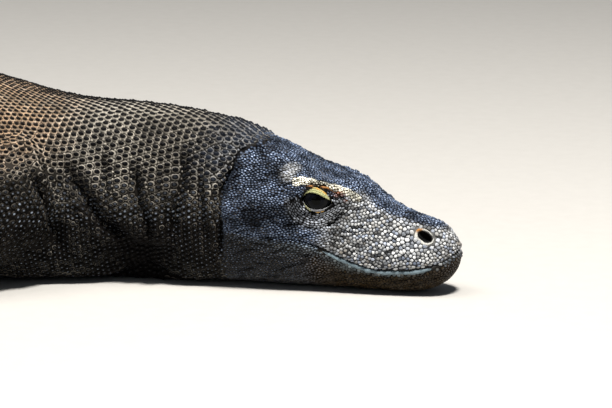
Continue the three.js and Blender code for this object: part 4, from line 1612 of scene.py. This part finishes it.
def skin_roll(tree, route, sign, radius, sink=0.3):
    """A raised roll of skin along (back, up) stops on one side of the head."""
    found = [on_skin(tree, back, up, sign) for back, up in route]
    path = np.array([place for place, _ in found])
    normal = unit(np.array([way for _, way in found]))
    path = path - normal * sink
    broad = np.cross(normal, unit(np.gradient(path, axis=0)))
    return tube(path, radius, radius * 0.9, broad, 8)


def nostril_roll(tree, sign, ring, thick, sink):
    """A thick smooth roll round a nostril, thicker below and behind."""
    back, _, up = NOSTRIL["at"]
    tilt = NOSTRIL["tilt"]
    turn = np.linspace(0, 2 * math.pi * 1.02, 52)
    along = (NOSTRIL["long"] + ring) * np.cos(turn)
    across = (NOSTRIL["short"] + ring) * np.sin(turn)
    ahead = along * math.cos(tilt) + across * math.sin(tilt)
    above = across * math.cos(tilt) - along * math.sin(tilt)
    route = list(zip(back - ahead, up + above))
    radius = thick * (1 - 0.26 * np.sin(turn) - 0.26 * np.cos(turn) + 0.06 * np.sin(turn * 7))
    return skin_roll(tree, route, sign, radius, sink)


def lip_roll(tree, sign):
    """The smooth edge of the lower lip, just under the mouth."""
    back = np.linspace(LIP_BACK[0] + 1, LIP_BACK[1], 90)
    up = np.interp(back, *MOUTH_LINE) - 2.7
    up = np.convolve(np.pad(up, 4, "edge"), np.ones(9) / 9, "valid")
    share = np.linspace(0, 1, len(back))
    radius = 1.95 * np.clip(np.sin(math.pi * np.clip(share, 0.03, 0.97)) * 2.2, 0, 1) ** 0.6
    radius = radius * (1 + 0.08 * np.sin(back * 0.9) + 0.06 * np.sin(back * 2.3))
    return skin_roll(tree, list(zip(back, up)), sign, radius, 0.9)


def crease_roll(tree, sign):
    """The thin stained edge of skin between the upper lid and the brow."""
    stops = smooth_path(BROW_EDGE[1:7], 8)
    route = [(back, up - 1.2) for back, _, up in stops]
    share = np.linspace(0, 1, len(route))
    radius = 1.15 * np.sin(math.pi * np.clip(share, 0.05, 0.95)) ** 0.5 * (1 + 0.15 * np.sin(share * 60))
    return skin_roll(tree, route, sign, radius, -0.25)


def eyeball(eye, name):
    """The ball, marked with how far over it each place is from where it looks."""
    rings, around = 30, 48
    gaze = unit(eye.out * 0.95 - eye.rear * 0.16 + eye.up * 0.06)
    side = unit(np.cross(gaze, eye.up))
    over = np.cross(side, gaze)
    theta = np.linspace(0, math.pi, rings + 1)[1:-1]
    theta = theta[0] * 0.3 + (theta - theta[0]) * (math.pi - 0.35) / (theta[-1] - theta[0])
    turn = 2 * math.pi * np.arange(around) / around
    bulge = eye.radius - 0.15 + 0.15 * bell(theta, 0, 0.4)
    rim = (np.cos(turn)[:, None] * side + np.sin(turn)[:, None] * over)
    shells = [eye.centre + r * (math.cos(t) * gaze + math.sin(t) * rim) for t, r in zip(theta, bulge)]
    co = np.vstack([*shells, eye.centre + gaze * eye.radius, eye.centre - gaze * eye.radius * 0.98])
    k = np.arange(around)
    after = (k + 1) % around
    bands = [r * around for r in range(len(theta) - 1)]
    quads = np.vstack([np.stack([r + k, r + around + k, r + around + after, r + after], -1) for r in bands])
    front, rear = len(co) - 2, len(co) - 1
    last = (len(theta) - 1) * around
    caps = np.vstack([np.stack([np.full(around, front), k, after], -1),
                      np.stack([np.full(around, rear), last + after, last + k], -1)])
    mesh = mesh_from(name, co, [quads, caps])
    away = unit(co - eye.centre)
    set_attribute(mesh, "gaze", np.arccos(np.clip(away @ gaze, -1, 1)) * eye.radius)
    return new_object(name, mesh)


def claw(name, node, hand):
    """A hooked claw through the CAD claw's base and tip."""
    co = places(frame["nodes"][node].data)
    palm = places(frame["nodes"][hand].data).mean(0)
    tip = co[np.argmax(np.linalg.norm(co[:, :2] - palm[:2], axis=1))]
    from_tip = np.linalg.norm(co[:, :2] - tip[:2], axis=1)
    root = co[from_tip > 0.82 * np.ptp(from_tip)].mean(0)
    way = tip - root
    length = np.linalg.norm(way)
    t = np.linspace(-0.22, 1, 18)
    path = root + way * t[:, None]
    arch = 0.15 * length * np.sin(np.pi * np.clip(t, 0, 1)) ** 0.9
    path[:, 2] += arch
    path[:, 2] = np.maximum(path[:, 2], 0.5)
    size = 4.4 * (1 - np.clip(t, 0, 1) ** 1.5) ** 0.8 + 0.35
    level = np.repeat(unit(np.cross(way, np.array([0, 0, 1.0])))[None], len(t), 0)
    points, quads, ends = tube(path, size * 0.72, size, level, 12)
    low, high = (np.array(corner) / MM for corner in CAD_BOX)
    points = np.clip(points, low + 0.1, high - 0.1)
    mesh = mesh_from(name, points, [quads, ends])
    set_attribute(mesh, "along", np.repeat(np.clip(t, 0, 1), 12))
    return new_object(name, mesh)


# ---------------------------------------------------------------- putting it together


def lighter(mesh, share):
    """The same surface with fewer faces."""
    holder = new_object("skin_full", mesh)
    modifier = holder.modifiers.new("fewer", "DECIMATE")
    modifier.ratio = share
    made = bpy.data.meshes.new_from_object(holder.evaluated_get(bpy.context.evaluated_depsgraph_get()))
    bpy.data.objects.remove(holder)
    return made


# Ridges of the upper lid from its edge up: half width, height over the edge, and marks.
UPPER_LID = [(1.0, 0.1, ("lid",)), (1.15, 1.6, ("lid",)), (1.0, 3.0, ("lid", "ember"))]


def face_rolls(tree):
    """Every roll of skin on the face, each with the marks that colour it."""
    rolls = []
    for eye in EYES:
        for half, lift, marks in UPPER_LID:
            rolls.append((lid_roll(eye, "upper", half, 0.9, lift), ("roll", *marks)))
        rolls.append((lid_roll(eye, "lower", 1.0, 0.75, -0.5), ("roll",)))
        rolls.append((lid_roll(eye, "lower", 2.1, 1.0, -1.2, (0.64, 0.985)), ("roll", "lid")))
        rolls.append((lid_roll(eye, "lower", 1.5, 0.85, -1.6, (0.22, 0.52)), ("roll", "ember")))
        # The lower lid's wet edge, carrying a painted sheen.
        rolls.append((lid_roll(eye, "lower", 0.45, 0.4, 0.55, (0.30, 0.72), 0.3), ("roll", "wet")))
        rolls.append((nostril_roll(tree, eye.sign, 1.3, 1.25, 0.65), ("roll", "pale")))
        rolls.append((lip_roll(tree, eye.sign), ("roll", "lip")))
        rolls.append((crease_roll(tree, eye.sign), ("roll", "rust")))
    return rolls


ROLL_MARKS = ["roll", "lid", "wet", "ember", "pale", "lip", "rust"]


def skin_object():
    coat_base = make_skin()
    tree = skin_tree(coat_base)
    bm = bmesh.new()
    bm.from_mesh(lighter(coat_base, 0.45))
    marks = {key: [np.zeros(len(bm.verts))] for key in ROLL_MARKS}
    for (points, quads, ends), given in face_rolls(tree):
        piece = mesh_from("roll", points, [quads, ends])
        bm.from_mesh(piece)
        bpy.data.meshes.remove(piece)
        for key in ROLL_MARKS:
            marks[key].append(np.full(len(points), float(key in given)))
    whole = bpy.data.meshes.new("hide")
    bm.to_mesh(whole)
    bm.free()
    whole.polygons.foreach_set("use_smooth", np.ones(len(whole.polygons), bool))
    co = places(whole)
    masks = zones(SPINE.locate(co), owners(co))
    for key in MASK_NAMES:
        set_attribute(whole, key, masks[key])
    for key in ROLL_MARKS:
        set_attribute(whole, key, np.concatenate(marks[key]))
    return new_object("hide", whole), coat_base


# Each grade of scale: its name, its sides, and how many go into one piece.
COAT_GRADES = (("fine", 8, 3100), ("small", 6, 5200), ("plain", 6, 8500))


def coat_objects(coat_base):
    """All the scales and granules, joined into a few pieces."""
    coat = grow_coat(coat_base)
    where = coat["where"]
    near = (where[:, 0] < 520) & ~is_named(coat["owner"], "thigh", "shank", "foot")
    fine = near & (coat["masks"]["under"] < 0.98)
    made = []
    order = np.argsort(where[:, 0])
    small = near & (coat["masks"]["head"] > 0.5) & (coat["spacing"] < 3.5)
    fine &= ~small
    groups = {"fine": fine, "small": small, "plain": ~(fine | small)}
    for grade, sides, limit in COAT_GRADES:
        chosen = order[groups[grade][order]]
        pieces = max(1, math.ceil(len(chosen) / limit))
        for number, pick in enumerate(np.array_split(chosen, pieces)):
            name = f"scales_{grade}_{number + 1}"
            made.append(new_object(name, scale_mesh(name, pick, coat, sides, grade)))
    lasting = rng.random(len(where)) < 1 - smoothstep(where[:, 0], 470, 800)
    trunk = ~is_named(coat["owner"], "arm", "hand", "thigh", "shank", "foot") & (where[:, 0] > 500)
    beaded = (fine | trunk) & (coat["masks"]["head"] < 0.5) & (coat["masks"]["under"] < 0.98) & lasting
    return made + granule_meshes(coat["tree"], coat, beaded)


def finish_piece(piece, material, slot, *nodes):
    piece.data.materials.append(material)
    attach(piece, "root")
    if nodes:
        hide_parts(*nodes)


def build_animal():
    skin, coat_base = skin_object()
    finish_piece(skin, hide_material("hide_skin", False), "hide", *FLESH)
    scales = hide_material("hide_scales", True)
    for piece in coat_objects(coat_base):
        finish_piece(piece, scales, "hide")
    glossy = eye_material()
    for eye, side in zip(EYES, ("right", "left")):
        finish_piece(eyeball(eye, f"{side}_eyeball"), glossy, "eye", f"{side}_eye")
    horn = horn_material()
    for node in frame["nodes"]:
        if "_claw_" in node:
            piece = claw(f"horn_{node}", node, node.split("_claw_")[0])
            finish_piece(piece, horn, "horn", node)


# ---------------------------------------------------------------- studio

VIEW_AZIMUTH = math.radians(14)
VIEW_ELEVATION = math.radians(12)
VIEW_WIDTH = 0.5508
VIEW_DISTANCE = 3.06
SENSOR = 36
TIP_PIXEL = (462, 255)
PIXELS = (612, 408)
FLOOR_HALF = 9.0


def view_axes():
    right = np.array([math.cos(VIEW_AZIMUTH), math.sin(VIEW_AZIMUTH), 0])
    back = np.array([math.sin(VIEW_AZIMUTH) * math.cos(VIEW_ELEVATION),
                     -math.cos(VIEW_AZIMUTH) * math.cos(VIEW_ELEVATION),
                     math.sin(VIEW_ELEVATION)])
    return right, np.cross(back, right), back


def build_camera():
    right, up, back = view_axes()
    tip = SPINE.point(0, 0, 36) * MM
    pixel = VIEW_WIDTH / PIXELS[0]
    across = (TIP_PIXEL[0] - PIXELS[0] / 2) * pixel
    down = (TIP_PIXEL[1] - PIXELS[1] / 2) * pixel
    target = tip - right * across + up * down
    camera = bpy.data.cameras.new("camera")
    camera.sensor_width = SENSOR
    camera.lens = SENSOR * VIEW_DISTANCE / VIEW_WIDTH
    camera.clip_start = 0.05
    camera.clip_end = 60
    holder = new_object("camera", camera)
    holder.location = Vector(target + back * VIEW_DISTANCE)
    holder.rotation_mode = "QUATERNION"
    holder.rotation_quaternion = Vector(-back).to_track_quat("-Z", "Y")
    bpy.context.scene.camera = holder
    return target


def area_light(name, at, target, size, power, colour):
    lamp = bpy.data.lights.new(name, "AREA")
    lamp.shape = "RECTANGLE"
    lamp.size, lamp.size_y = size
    lamp.energy = power
    lamp.color = colour
    holder = new_object(name, lamp)
    holder.location = at
    holder.rotation_mode = "QUATERNION"
    holder.rotation_quaternion = (Vector(target) - Vector(at)).to_track_quat("-Z", "Y")


def build_studio(target):
    sky = bpy.data.worlds.new("studio")
    sky.use_nodes = True
    background = sky.node_tree.nodes["Background"]
    background.inputs["Color"].default_value = (0.80, 0.88, 1.0, 1)
    background.inputs["Strength"].default_value = 0.11
    bpy.context.scene.world = sky
    bpy.context.scene.view_settings.view_transform = "Standard"
    right, _, back = view_axes()
    level = unit(np.array([back[0], back[1], 0]))
    key_at = target + right * 0.35 + level * 0.75 + np.array([0, 0, 2.4])
    area_light("key", key_at, target, (0.4, 0.4), 118, (1.0, 0.96, 0.90))
    fill_at = target - right * 1.6 + level * 2.2 + np.array([0, 0, 1.0])
    area_light("fill", fill_at, target, (1.8, 1.2), 3, (0.88, 0.94, 1.0))
    body_at = np.array([-0.3, -0.5, 3.2])
    area_light("long", body_at, (-0.2, 0, 0), (3.0, 1.6), 70, (1.0, 0.97, 0.92))
    floor = bpy.data.meshes.new("floor")
    corners = [(FLOOR_HALF * x, FLOOR_HALF * y, 0) for x, y in ((-1, -1), (1, -1), (1, 1), (-1, 1))]
    floor.from_pydata(corners, [], [(0, 1, 2, 3)])
    floor.materials.append(floor_material())
    new_object("floor", floor)


build_animal()
build_studio(build_camera())
